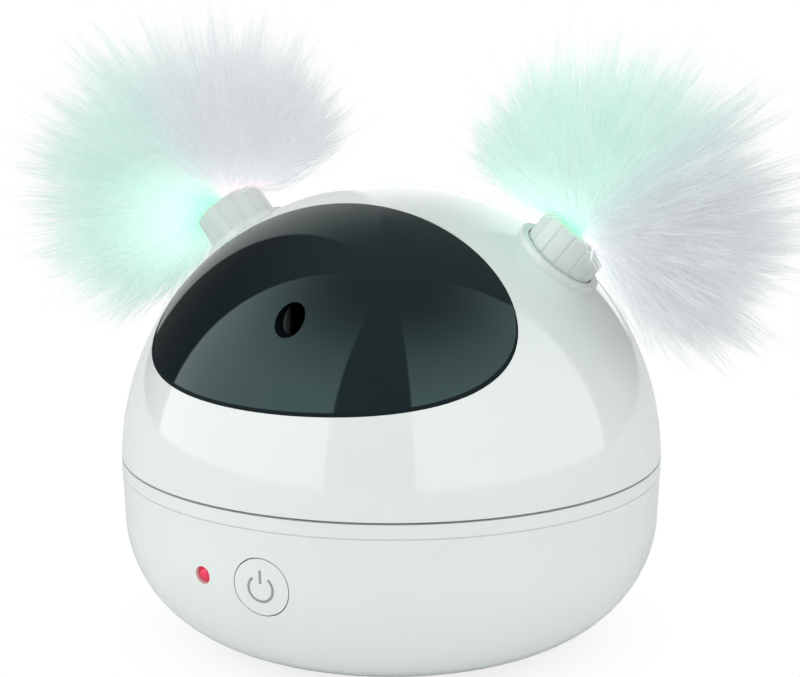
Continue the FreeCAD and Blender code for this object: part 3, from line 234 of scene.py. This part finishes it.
dress(lamp_plastic("lamp_red", LAMP_RED, LAMP_RED_GLOW, 0.45), "power_led")


# Power button
# A moulded white cap that follows the bowl's curve and slides in its round hole. A grey sign is printed
# on it: a ring open at its top and a short bar in the opening.
SIGN_RADIUS = 0.0023
SIGN_STROKE = 0.00048
SIGN_OPENING = math.radians(38)
SIGN_BAR_TOP = 0.0031
SIGN_BAR_FOOT = 0.0007
SIGN_BELOW_MIDDLE = 0.0002
SIGN_PROUD = 0.00002
SIGN_STEPS = 48
SIGN_BAR_STEPS = 6
RAY_AHEAD = 0.01

dress(white_gloss, "power_button")


def mesh_piece(name, points, faces, material):
    mesh = bpy.data.meshes.new(name)
    mesh.from_pydata(points, [], faces)
    mesh.materials.append(material)
    piece = bpy.data.objects.new(name, mesh)
    bpy.context.scene.collection.objects.link(piece)
    return piece


def surface_of(node):
    """A node's surface, to lay print on."""
    mesh = nodes[node].data
    return BVHTree.FromPolygons([v.co for v in mesh.vertices], [list(p.vertices) for p in mesh.polygons])


def button_sign():
    low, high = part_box("power_button")
    middle_x = (low.x + high.x) / 2
    middle_z = (low.z + high.z) / 2
    skin = surface_of("power_button")

    def on_cap(x, z):
        start = Vector((middle_x + x, low.y - RAY_AHEAD, middle_z + z))
        hit = skin.ray_cast(start, Vector((0, 1, 0)))[0]
        return (hit.x, hit.y - SIGN_PROUD, hit.z)

    inner = SIGN_RADIUS - SIGN_STROKE / 2
    outer = SIGN_RADIUS + SIGN_STROKE / 2
    points = []
    faces = []
    for step in range(SIGN_STEPS + 1):
        turn = SIGN_OPENING + (2 * math.pi - 2 * SIGN_OPENING) * step / SIGN_STEPS
        for radius in (inner, outer):
            points.append(on_cap(radius * math.sin(turn), radius * math.cos(turn) - SIGN_BELOW_MIDDLE))
    for step in range(SIGN_STEPS):
        first = step * 2
        faces.append((first, first + 1, first + 3, first + 2))
    start = len(points)
    for row in range(SIGN_BAR_STEPS + 1):
        z = SIGN_BAR_FOOT + (SIGN_BAR_TOP - SIGN_BAR_FOOT) * row / SIGN_BAR_STEPS
        for side in (-0.5, 0.5):
            points.append(on_cap(SIGN_STROKE * side, z))
    for row in range(SIGN_BAR_STEPS):
        first = start + row * 2
        faces.append((first, first + 1, first + 3, first + 2))
    ink = moulded("sign_ink", (0.34, 0.37, 0.37), (0.28, 0.31, 0.31), 0.4, 0.0003, 0.000002)
    sign = mesh_piece("button_sign", points, faces, ink)
    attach(sign, "power_button")


button_sign()


# Deck
# The moulded plate that closes the bowl. Its rim is the thin band between the two seams,
# and its middle carries the hollow spindle that the head turns on.
dress(white_gloss, "base_deck")


# Gears and bearing
# Acetal gears and washer in natural cream, slightly waxy: the big gear under the head plate,
# the motor's pinion, and the small sector and pinion that tip the laser.
acetal = moulded("acetal", (0.80, 0.77, 0.67), (0.74, 0.71, 0.60), 0.38, 0.0008, 0.00001)
dress(acetal, "head_gear", "drive_pinion", "thrust_washer", "tilt_sector", "tilt_pinion")


# Slip ring
# Two copper tracks on a black ring under the head plate, touched by two springs on a black block,
# carry the current up to the turning head.
copper = steel_of("copper", (0.80, 0.45, 0.26), 0.25)
brass = steel_of("brass", (0.75, 0.56, 0.27), 0.24)
dress(black_parts, "slip_ring", "brush_block")
dress(copper, "slip_ring_tracks")
dress(brass, "brush_springs")


# Head plate
# A pale moulded plate, screwed up into the dome from below. It holds the laser's bracket,
# and two posts on it carry the head's board.
pale_plastic = moulded("pale_plastic", (0.66, 0.68, 0.68), (0.60, 0.62, 0.62), 0.5, 0.0006, 0.00002)
dress(pale_plastic, "head_plate", "head_board_posts")
dress(bright_steel, "head_screws")
dress(board_green, "head_board")
dress(black_parts, "head_board_parts")


# Laser
# A module in a black anodised tube with a small lens, clipped into a matt black cradle that tilts between
# the two pale arms of its bracket, so that nothing behind the visor's hole throws light back.
TUBE_GRAIN = 0.0005
TUBE_BLACK = (0.0015, 0.0015, 0.0018)
TUBE_WORN = (0.003, 0.003, 0.0034)
LENS_SHADE = (0.80, 0.86, 0.90)
LENS_CLEAR = (0.88, 0.92, 0.95)


def anodised():
    material, tree, shader = principled("dark_metal")
    scratches = noise_on(tree, TUBE_GRAIN, stretch=(1, 12, 1))
    tint(tree, scratches.outputs["Fac"], TUBE_BLACK, TUBE_WORN, shader.inputs["Base Color"])
    spread(tree, scratches.outputs["Fac"], 0.55, 0.75, shader.inputs["Roughness"])
    shader.inputs["Specular IOR Level"].default_value = 0.06
    return material


def lens_glass():
    material, tree, shader = principled("lens_glass")
    cloud = noise_on(tree, 0.001)
    tint(tree, cloud.outputs["Fac"], LENS_SHADE, LENS_CLEAR, shader.inputs["Base Color"])
    spread(tree, cloud.outputs["Fac"], 0.02, 0.05, shader.inputs["Roughness"])
    shader.inputs["Transmission Weight"].default_value = 1.0
    shader.inputs["Specular IOR Level"].default_value = 0.1
    return material


dress(pale_plastic, "laser_bracket")
dress(bright_steel, "bracket_screws", "tilt_motor")
matt_black = moulded("matt_black", (0.004, 0.004, 0.0045), (0.002, 0.002, 0.0023), 0.7, 0.0005, 0.00001,
                     Specular_IOR_Level=0.05)
dress(matt_black, "laser_cradle")
dress(anodised(), "laser_barrel")
dress(lens_glass(), "laser_lens")


# Visor
# A moulded shell of smoked acrylic that fills the dome's oval opening flush, with one round hole for the
# beam. A thin dark matt strip just proud of it draws a dark line along the foot and the sides of the
# opening.
VISOR_DARK = (0.0038, 0.0075, 0.0085)
VISOR_LIGHT = (0.0048, 0.0092, 0.0105)
VISOR_SHINE = (0.63, 0.97, 0.96, 1)
VISOR_TILT = math.radians(48)
VISOR_HALF_WIDTH = 0.03435
VISOR_HALF_HEIGHT = 0.02265
EDGE_WIDTH = 0.00055
EDGE_PROUD = 0.00006
EDGE_START = math.radians(-205)
EDGE_SPAN = math.radians(230)
EDGE_TAPER = 1 / 6
EDGE_STEPS = 160

smoked = moulded("smoked_visor", VISOR_LIGHT, VISOR_DARK, 0.02, 0.002, 0.0000005, IOR=1.54,
                 Specular_Tint=VISOR_SHINE)
dress(smoked, "visor")


def ball():
    """The middle and the radius of the dome's half ball."""
    low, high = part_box("head_dome")
    radius = (high.x - low.x) / 2
    return Vector((0, 0, high.z - radius)), radius


def visor_edge():
    centre, radius = ball()
    outward = Vector((0, -math.cos(VISOR_TILT), math.sin(VISOR_TILT)))
    upward = Vector((0, math.sin(VISOR_TILT), math.cos(VISOR_TILT)))
    points = []
    faces = []
    for step in range(EDGE_STEPS + 1):
        turn = EDGE_START + EDGE_SPAN * step / EDGE_STEPS
        width = EDGE_WIDTH * min(1, min(step, EDGE_STEPS - step) / EDGE_STEPS / EDGE_TAPER)
        for inset in (width, 0):
            flat = Vector((math.cos(turn) * (VISOR_HALF_WIDTH - inset), 0, 0))
            flat += upward * (math.sin(turn) * (VISOR_HALF_HEIGHT - inset))
            rise = math.sqrt((radius + EDGE_PROUD) ** 2 - flat.length_squared)
            points.append(centre + flat + outward * rise)
    for step in range(EDGE_STEPS):
        first = step * 2
        faces.append((first, first + 1, first + 3, first + 2))
    matt = moulded("visor_edge", (0.010, 0.018, 0.021), (0.008, 0.015, 0.018), 0.6, 0.0004, 0.000002,
                   Specular_IOR_Level=0.05)
    edge = mesh_piece("visor_edge", points, faces, matt)
    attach(edge, "head")


visor_edge()


# Dome
# The turning half ball, moulded in the same glossy white plastic as the bowl, with two raised collars
# that hold the ears. Screws from below hold it to the head plate.
dress(white_gloss, "head_dome")


# Ear hubs
# A short fluted tube of white plastic stands in each collar. Behind its mouth a small round board
# carries a green and a pink lamp, which shine up into the fibres.
HUB_WHITE = (0.76, 0.80, 0.79)
HUB_SHADE = (0.70, 0.75, 0.74)

hub_plastic = moulded("hub_plastic", HUB_WHITE, HUB_SHADE, 0.35, 0.001, 0.000006)
lamp_green = lamp_plastic("lamp_green", (0.20, 0.80, 0.45), (0.25, 1.0, 0.55), 1.5)
lamp_pink = lamp_plastic("lamp_pink", (0.80, 0.20, 0.35), (1.0, 0.45, 0.60), 1.0)
for ear in ("left", "right"):
    dress(hub_plastic, f"ear_hub_{ear}")
    dress(board_green, f"ear_board_{ear}")
    dress(lamp_green, f"ear_led_green_{ear}")
    dress(lamp_pink, f"ear_led_red_{ear}")


# Ear tufts
# Each ear is a bunch of very fine fibres, glued into the hub's mouth and fanned out all round it: a dense
# down inside and longer locks outside. The lamps' light is painted into them: mint on one side and
# rose-grey on the other, with a painted glow that is strongest at the roots.
# The glossy rays of the render pass them by, so the shell doesn't mirror them.
DOWN_FIBRES = 11000
LOCKS = 280
FIBRES_IN_LOCK = 24
LOOSE_FIBRES = 900
FIBRE_POINTS = 7
FAN_ASIDE = math.radians(106)
FAN_FORWARD = math.radians(66)
FAN_RAGGED = (0.92, 1.02)
SPARE_DRAWS = 3
REACH = {"left": 0.0448, "right": 0.0410}
OUTWARD_REACH = {"left": 0.0055, "right": 0.0052}
SIDE_DROP = 0.0165
ROOT_RADIUS = 0.0050
ROOT_SPREAD = 0.7
ROOT_DEPTH = 0.0010
ROOT_BEND = 0.2
RIPPLE_HEIGHT = 0.0004
RIPPLE_TURNS = 7
FIBRE_WIDTH = 0.00016
WIDTH_RANGE = (0.7, 1.3)
THINNING = 0.35
TIP_CLOSING = 0.4
TIP_LEFT = 0.06
DOWN_SHARE = 0.86
DOWN_SHORTER = 0.30
DOWN_LOOSENESS = 0.0012
LOCK_SHARE = (0.84, 1.02)
LOCK_RAGGED = 0.88
LOCK_BEND = 0.0016
LOCK_WIDTH = 0.0015
LOCK_AT_ROOT = (0.12, 0.4)
LOCK_BELLY = 0.9
LOCK_BELLY_LOW = 0.8
LOCK_LEFT = 0.16
LOOSE_SHARE = (0.75, 1.0)
LOOSE_WIDTH = 0.0020

# Painted lamplight: the mint, cyan and lavender body colours are the green and pink lamps' light painted
# into the fibres' colour.
MINT_LAMPLIGHT = (0.81, 0.925, 0.895)
CYAN_LAMPLIGHT = (0.84, 0.91, 0.91)
LAVENDER_LAMPLIGHT = (0.88, 0.90, 0.908)
TIP_WHITE = (0.79, 0.835, 0.84)
# Painted glow: the colours and strengths of the light the fibres give off, strongest at the roots, though
# no fibre is a lamp.
GLOW_GREEN = (0.50, 1.0, 0.72)
GLOW_PINK = (0.95, 0.84, 0.88)
BODY_GLOW_GREEN = (0.75, 0.98, 0.87)
BODY_GLOW_GREY = (0.62, 0.62, 0.64)
MINT_ENDS = 0.50
GREY_STARTS = 0.70
ROOT_COLOUR = (0.03, 0.30)
TIP_STARTS = 0.70
GLOW_ENDS = 0.60
GLOW_AT_ROOT = 0.42
GLOW_LEFT = 0.10
SIDELESS = 0.002


def ear_place(ear):
    """Where the fibres start, the way the ear points and the way across it from green to pink."""
    centre = np.array(ball()[0])
    hub = np.array([v.co for v in nodes[f"ear_hub_{ear}"].data.vertices])
    lid = hub.mean(axis=0) - centre
    along = lid / np.linalg.norm(lid)
    reach = ((hub - centre) @ along).max()
    across = np.array((1.0, 0, 0)) - along * along[0]
    across /= np.linalg.norm(across)
    return centre + along * reach, along, across, ear


def fan_directions(rng, count, along, across):
    """Unit directions over the fan, which opens wider to the sides than to the front and the back."""
    upright = np.cross(along, across)
    draws = count * SPARE_DRAWS
    level = 1 - rng.random(draws) * (1 - math.cos(FAN_ASIDE))
    turn = rng.random(draws) * 2 * math.pi
    widest = np.hypot(FAN_ASIDE * np.cos(turn), FAN_FORWARD * np.sin(turn))
    widest *= rng.uniform(*FAN_RAGGED, draws)
    inside = np.flatnonzero(np.arccos(level) < widest)[:count]
    level, turn = level[inside, None], turn[inside, None]
    side = np.sqrt(1 - level**2)
    return level * along + side * (np.cos(turn) * across + np.sin(turn) * upright)


def unit(vectors):
    return vectors / np.linalg.norm(vectors, axis=-1, keepdims=True)


def fibre_lines(rng, way, share, bunch, aside, gather):
    """Centre lines that leave the hub along its axis and bend to their own way.

    share is each fibre's part of the full reach, aside is its place in its lock, and gather says how wide
    the lock is at each step.
    """
    start, along, across, ear = bunch
    lean = np.arccos(np.clip(way @ along, -1, 1))
    outward_share = way @ across * (-1 if ear == "left" else 1)
    reach = REACH[ear] + OUTWARD_REACH[ear] * outward_share - SIDE_DROP * (lean / FAN_ASIDE) ** 2
    length = (reach * share)[:, None]
    outward = unit(way - along * (way @ along)[:, None])
    spot = ROOT_RADIUS * (lean / FAN_ASIDE) ** ROOT_SPREAD
    root = start + outward * spot[:, None] - along * ROOT_DEPTH
    ripple = unit(rng.normal(0, 1, way.shape))
    phase = rng.random((len(way), 1)) * 2 * math.pi
    steps = np.linspace(0, 1, FIBRE_POINTS)
    lines = np.empty((len(way), FIBRE_POINTS, 3))
    for number, step in enumerate(steps):
        upward = ROOT_BEND / 3 * (1 - max(1 - step / ROOT_BEND, 0) ** 3)
        straight = way * (step - upward) + along * upward
        wave = ripple * np.sin(phase + step * RIPPLE_TURNS) * RIPPLE_HEIGHT * step
        lines[:, number] = root + straight * length + aside * gather[number] + wave
    return lines


def down_lines(rng, bunch):
    """The inner fibres, each on its own way."""
    way = fan_directions(rng, DOWN_FIBRES, *bunch[1:3])
    share = DOWN_SHARE - DOWN_SHORTER * rng.random(len(way)) ** 2
    aside = rng.normal(0, DOWN_LOOSENESS, way.shape)
    gather = np.linspace(0, 1, FIBRE_POINTS)
    return fibre_lines(rng, way, share, bunch, aside, gather)


def lock_lines(rng, bunch):
    """The outer fibres: locks that close to a point at their tips, and some loose ones between them."""
    lock_way = fan_directions(rng, LOCKS, *bunch[1:3])
    lock_share = rng.uniform(*LOCK_SHARE, LOCKS)
    lock_bend = rng.normal(0, LOCK_BEND, (LOCKS, 3))
    way = np.repeat(lock_way, FIBRES_IN_LOCK, axis=0)
    share = np.repeat(lock_share, FIBRES_IN_LOCK) * rng.uniform(LOCK_RAGGED, 1.0, len(way))
    aside = rng.normal(0, LOCK_WIDTH, way.shape)
    steps = np.linspace(0, 1, FIBRE_POINTS)
    gather = np.sin(math.pi * steps**LOCK_BELLY_LOW) * LOCK_BELLY + LOCK_LEFT
    gather[:2] = LOCK_AT_ROOT
    lines = fibre_lines(rng, way, share, bunch, aside, gather)
    bend = np.repeat(lock_bend, FIBRES_IN_LOCK, axis=0)
    lines += bend[:, None, :] * steps[None, :, None] ** 2
    loose_way = fan_directions(rng, LOOSE_FIBRES, *bunch[1:3])
    loose_share = rng.uniform(*LOOSE_SHARE, len(loose_way))
    loose_aside = rng.normal(0, LOOSE_WIDTH, loose_way.shape)
    loose = fibre_lines(rng, loose_way, loose_share, bunch, loose_aside, steps)
    return np.concatenate([lines, loose])


def ribbons(rng, lines):
    """A tapering ribbon along every fibre: its corner points and its faces."""
    count = len(lines)
    tangent = unit(np.gradient(lines, axis=1))
    turn = unit(rng.normal(0, 1, (count, 1, 3)))
    flat = unit(np.cross(tangent, turn))
    steps = np.linspace(0, 1, FIBRE_POINTS)
    taper = (1 - steps) ** TIP_CLOSING * (1 - THINNING * steps) + TIP_LEFT
    width = FIBRE_WIDTH * rng.uniform(*WIDTH_RANGE, (count, 1)) * taper[None, :]
    half = flat * width[..., None] / 2
    corners = np.stack([lines - half, lines + half], axis=2)
    first = np.arange(count)[:, None] * FIBRE_POINTS * 2 + np.arange(FIBRE_POINTS - 1)[None, :] * 2
    faces = np.stack([first, first + 1, first + 3, first + 2], axis=-1)
    return corners.reshape(-1, 3), faces.reshape(-1, 4)


def paint_attribute(mesh, name, values):
    layer = mesh.attributes.new(name, "FLOAT", "POINT")
    layer.data.foreach_set("value", np.ascontiguousarray(values, np.float32))


def fluff_material():
    """The fibres' colour: a painted glow at the roots, a body with the lamps' light painted in that turns
    from mint to grey, and pale tips.
    """
    material, tree, shader = principled("fluff")

    def painted(name):
        node = tree.nodes.new("ShaderNodeAttribute")
        node.attribute_name = name
        return node.outputs["Fac"]

    def ramp(source, stops):
        node = tree.nodes.new("ShaderNodeValToRGB")
        band = node.color_ramp
        while len(band.elements) < len(stops):
            band.elements.new(0.5)
        for element, (place, colour) in zip(band.elements, stops):
            element.position = place
            element.color = (*colour, 1)
        tree.links.new(source, node.inputs["Fac"])
        return node.outputs["Color"]

    def blend(factor, first, second, kind="MIX"):
        mix = tree.nodes.new("ShaderNodeMix")
        mix.data_type = "RGBA"
        mix.blend_type = kind
        tree.links.new(factor, mix.inputs["Factor"])
        for socket, colour in (("A", first), ("B", second)):
            if isinstance(colour, tuple):
                mix.inputs[socket].default_value = (*colour, 1)
            else:
                tree.links.new(colour, mix.inputs[socket])
        return mix.outputs["Result"]

    side = painted("side")
    along = painted("along")
    # The lamps' light painted into the body colour: mint on the green side, grey-lavender on the pink
    # side.
    body = ramp(side, [(0.0, MINT_LAMPLIGHT), (MINT_ENDS, MINT_LAMPLIGHT), (0.60, CYAN_LAMPLIGHT), (GREY_STARTS, LAVENDER_LAMPLIGHT),
                       (1.0, LAVENDER_LAMPLIGHT)])
    # Painted glow: at the roots the lamps' green and pink are painted into both the colour and the
    # emission; along the body a fainter painted glow, green on the mint side and grey on the other.
    root = ramp(side, [(0.0, GLOW_GREEN), (0.56, GLOW_GREEN), (GREY_STARTS, GLOW_PINK), (1.0, GLOW_PINK)])
    light = ramp(side, [(0.0, BODY_GLOW_GREEN), (MINT_ENDS, BODY_GLOW_GREEN), (GREY_STARTS, BODY_GLOW_GREY),
                        (1.0, BODY_GLOW_GREY)])
    to_body = add_node(tree, "ShaderNodeMapRange", From_Min=ROOT_COLOUR[0], From_Max=ROOT_COLOUR[1])
    to_body.interpolation_type = "SMOOTHSTEP"
    tree.links.new(along, to_body.inputs["Value"])
    to_tip = add_node(tree, "ShaderNodeMapRange", From_Min=TIP_STARTS, From_Max=1.0)
    tree.links.new(along, to_tip.inputs["Value"])
    lit = blend(to_body.outputs["Result"], root, body)
    whole = blend(to_tip.outputs["Result"], lit, TIP_WHITE)
    tree.links.new(whole, shader.inputs["Base Color"])
    # Painted glow: the fibres give off light, strongest at their roots and weaker out to the tips.
    tree.links.new(blend(to_body.outputs["Result"], root, light), shader.inputs["Emission Color"])
    glow = add_node(tree, "ShaderNodeMapRange", From_Min=0.0, From_Max=GLOW_ENDS, To_Min=GLOW_AT_ROOT,
                    To_Max=GLOW_LEFT)
    tree.links.new(along, glow.inputs["Value"])
    tree.links.new(glow.outputs["Result"], shader.inputs["Emission Strength"])
    shine = noise_on(tree, 0.0006)
    spread(tree, shine.outputs["Fac"], 0.6, 0.9, shader.inputs["Roughness"])
    shader.inputs["Specular IOR Level"].default_value = 0.2
    return material


fluff = fluff_material()


def fluff_piece(name, rng, lines, bunch):
    start, _, across, ear = bunch
    points, faces = ribbons(rng, lines)
    tuft = mesh_piece(name, points.tolist(), faces.tolist(), fluff)
    offset = points - start
    far = np.linalg.norm(offset, axis=1)
    lean = (offset @ across) / (far + SIDELESS)
    paint_attribute(tuft.data, "along", np.clip(far / REACH[ear], 0, 1))
    paint_attribute(tuft.data, "side", np.clip(lean * 0.5 + 0.5, 0, 1))
    tuft.visible_glossy = False
    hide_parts(f"ear_tuft_{ear}")
    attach(tuft, "head")


def ear_tuft(ear, seed):
    rng = np.random.default_rng(seed)
    bunch = ear_place(ear)
    fluff_piece(f"ear_down_{ear}", rng, down_lines(rng, bunch), bunch)
    fluff_piece(f"ear_locks_{ear}", rng, lock_lines(rng, bunch), bunch)


ear_tuft("left", 11)
ear_tuft("right", 12)


# Floor
# A plain pale sheet, matt to the light. To the camera it is nearly white under the toy, so that it keeps
# a faint shadow, and wholly white farther off.
FLOOR_HALF = 3.0
FLOOR_DROP = 0.00002
FLOOR_GRAIN = 0.004
FLOOR_SHADE = (0.88, 0.89, 0.89)
FLOOR_PALE = (0.90, 0.91, 0.91)
SHADOW_NEAR = 0.030
SHADOW_FAR = 0.055
SHADOW_WHITE = 0.80


def floor_sheet():
    material, tree, shader = principled("floor_paper")
    shader.inputs["Roughness"].default_value = 0.9
    shader.inputs["Specular IOR Level"].default_value = 0.1
    grain = noise_on(tree, FLOOR_GRAIN)
    tint(tree, grain.outputs["Fac"], FLOOR_SHADE, FLOOR_PALE, shader.inputs["Base Color"])
    white = add_node(tree, "ShaderNodeEmission", Color=(1, 1, 1, 1), Strength=1.0)
    place = tree.nodes.new("ShaderNodeTexCoord")
    far = tree.nodes.new("ShaderNodeVectorMath")
    far.operation = "LENGTH"
    tree.links.new(place.outputs["Object"], far.inputs[0])
    fade = add_node(tree, "ShaderNodeMapRange", From_Min=SHADOW_NEAR, From_Max=SHADOW_FAR,
                    To_Min=SHADOW_WHITE)
    fade.interpolation_type = "SMOOTHSTEP"
    tree.links.new(far.outputs["Value"], fade.inputs["Value"])
    path = tree.nodes.new("ShaderNodeLightPath")
    share = tree.nodes.new("ShaderNodeMath")
    share.operation = "MULTIPLY"
    tree.links.new(path.outputs["Is Camera Ray"], share.inputs[0])
    tree.links.new(fade.outputs["Result"], share.inputs[1])
    mix = tree.nodes.new("ShaderNodeMixShader")
    tree.links.new(share.outputs["Value"], mix.inputs["Fac"])
    tree.links.new(shader.outputs["BSDF"], mix.inputs[1])
    tree.links.new(white.outputs["Emission"], mix.inputs[2])
    tree.links.new(mix.outputs["Shader"], tree.nodes["Material Output"].inputs["Surface"])
    corners = [(-FLOOR_HALF, -FLOOR_HALF, 0), (FLOOR_HALF, -FLOOR_HALF, 0), (FLOOR_HALF, FLOOR_HALF, 0),
               (-FLOOR_HALF, FLOOR_HALF, 0)]
    floor = mesh_piece("floor", corners, [(0, 1, 2, 3)], material)
    floor.location.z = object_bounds()[0][2] - FLOOR_DROP


floor_sheet()


# Light
# A studio of tall pale panels round the toy with darker gaps between them, dark overhead, and one soft
# lamp at the upper left. A panel has its start and its end in degrees round from the front towards +X,
# its brightness, the heights between which it fades, and the share of it that lights matt surfaces.
GAP_LIGHT = 0.35
PANELS = [
    (-181, -150, 1.4, 20, 56, 1.0),
    (-150, -126, 0.75, 30, 70, 1.0),
    (-126, -88, 0.10, 30, 78, 1.0),
    (-88, -1, 1.8, 30, 78, 0.94),
    (35.6, 125, 1.8, 30, 78, 0.78),
]
PANEL_SOFT = 0.7
ROOM_COLOUR = (0.985, 1.0, 0.995, 1)
FILL_TURN = math.radians(-58)
FILL_RISE = math.radians(35)
FILL_DISTANCE = 0.6
FILL_SIZE = 0.4
FILL_POWER = 0.17


def studio():
    """The world: panels by direction for what they light and mirror, plain white for the camera."""
    world = bpy.data.worlds.new("studio")
    bpy.context.scene.world = world
    world.use_nodes = True
    tree = world.node_tree
    tree.nodes.clear()

    def math_of(operation, first, second):
        node = tree.nodes.new("ShaderNodeMath")
        node.operation = operation
        for socket, value in ((0, first), (1, second)):
            if isinstance(value, (int, float)):
                node.inputs[socket].default_value = value
            else:
                tree.links.new(value, node.inputs[socket])
        return node.outputs["Value"]

    def ramp(source, low, high, first, last, smooth=False):
        node = add_node(tree, "ShaderNodeMapRange", From_Min=low, From_Max=high, To_Min=first,
                        To_Max=last)
        node.interpolation_type = "SMOOTHSTEP" if smooth else "LINEAR"
        tree.links.new(source, node.inputs["Value"])
        return node.outputs["Result"]

    place = tree.nodes.new("ShaderNodeTexCoord")
    parts = tree.nodes.new("ShaderNodeSeparateXYZ")
    tree.links.new(place.outputs["Generated"], parts.inputs["Vector"])
    turn = math_of("ARCTAN2", parts.outputs["X"], math_of("MULTIPLY", parts.outputs["Y"], -1.0))
    degrees = math_of("MULTIPLY", turn, math.degrees(1.0))
    height = math_of("MULTIPLY", math_of("ARCSINE", parts.outputs["Z"], 0.0), math.degrees(1.0))
    path = tree.nodes.new("ShaderNodeLightPath")
    level = GAP_LIGHT
    for start, stop, bright, full, gone, matt_share in PANELS:
        rise = ramp(degrees, start - PANEL_SOFT, start + PANEL_SOFT, 0.0, bright - GAP_LIGHT)
        fall = ramp(degrees, stop - PANEL_SOFT, stop + PANEL_SOFT, 1.0, 0.0)
        fade = ramp(height, full, gone, 1.0, 0.0, smooth=True)
        kept = ramp(path.outputs["Is Diffuse Ray"], 0.0, 1.0, 1.0, matt_share)
        panel = math_of("MULTIPLY", math_of("MULTIPLY", rise, fall), math_of("MULTIPLY", fade, kept))
        level = math_of("ADD", panel, level)
    room = add_node(tree, "ShaderNodeBackground", Color=ROOM_COLOUR)
    tree.links.new(level, room.inputs["Strength"])
    seen = add_node(tree, "ShaderNodeBackground", Color=(1, 1, 1, 1), Strength=1.0)
    straight = math_of("MAXIMUM", path.outputs["Is Camera Ray"], path.outputs["Is Transmission Ray"])
    mix = tree.nodes.new("ShaderNodeMixShader")
    tree.links.new(straight, mix.inputs["Fac"])
    tree.links.new(room.outputs["Background"], mix.inputs[1])
    tree.links.new(seen.outputs["Background"], mix.inputs[2])
    out = tree.nodes.new("ShaderNodeOutputWorld")
    tree.links.new(mix.outputs["Shader"], out.inputs["Surface"])


def stand_off(thing, turn, rise, distance):
    """Puts a lamp or a camera at a distance from the ball's middle and points it there."""
    back = Vector((math.sin(turn) * math.cos(rise), -math.cos(turn) * math.cos(rise), math.sin(rise)))
    bpy.context.scene.collection.objects.link(thing)
    thing.location = ball()[0] + back * distance
    thing.rotation_euler = back.to_track_quat("Z", "Y").to_euler()


def fill_lamp():
    light = bpy.data.lights.new("fill", "AREA")
    light.size = FILL_SIZE
    light.energy = FILL_POWER
    lamp = bpy.data.objects.new("fill", light)
    lamp.visible_glossy = False
    stand_off(lamp, FILL_TURN, FILL_RISE, FILL_DISTANCE)


studio()
fill_lamp()


# Camera
# The toy is seen from its front right and a little from above, through a long lens.
# The shifts move the toy down and left in the frame, without turning the view.
VIEW_TURN = math.radians(26)
VIEW_RISE = math.radians(15)
VIEW_DISTANCE = 0.350
LENS = 84
SENSOR = 36
SHIFT_RIGHT = 8.5 / 800
SHIFT_UP = 114.5 / 800
CLIP_START = 0.01


def photo_camera():
    camera = bpy.data.cameras.new("photo_view")
    camera.lens = LENS
    camera.sensor_width = SENSOR
    camera.shift_x = SHIFT_RIGHT
    camera.shift_y = SHIFT_UP
    camera.clip_start = CLIP_START
    view = bpy.data.objects.new("photo_view", camera)
    stand_off(view, VIEW_TURN, VIEW_RISE, VIEW_DISTANCE)
    bpy.context.scene.camera = view


photo_camera()
bpy.context.scene.view_settings.view_transform = "Standard"
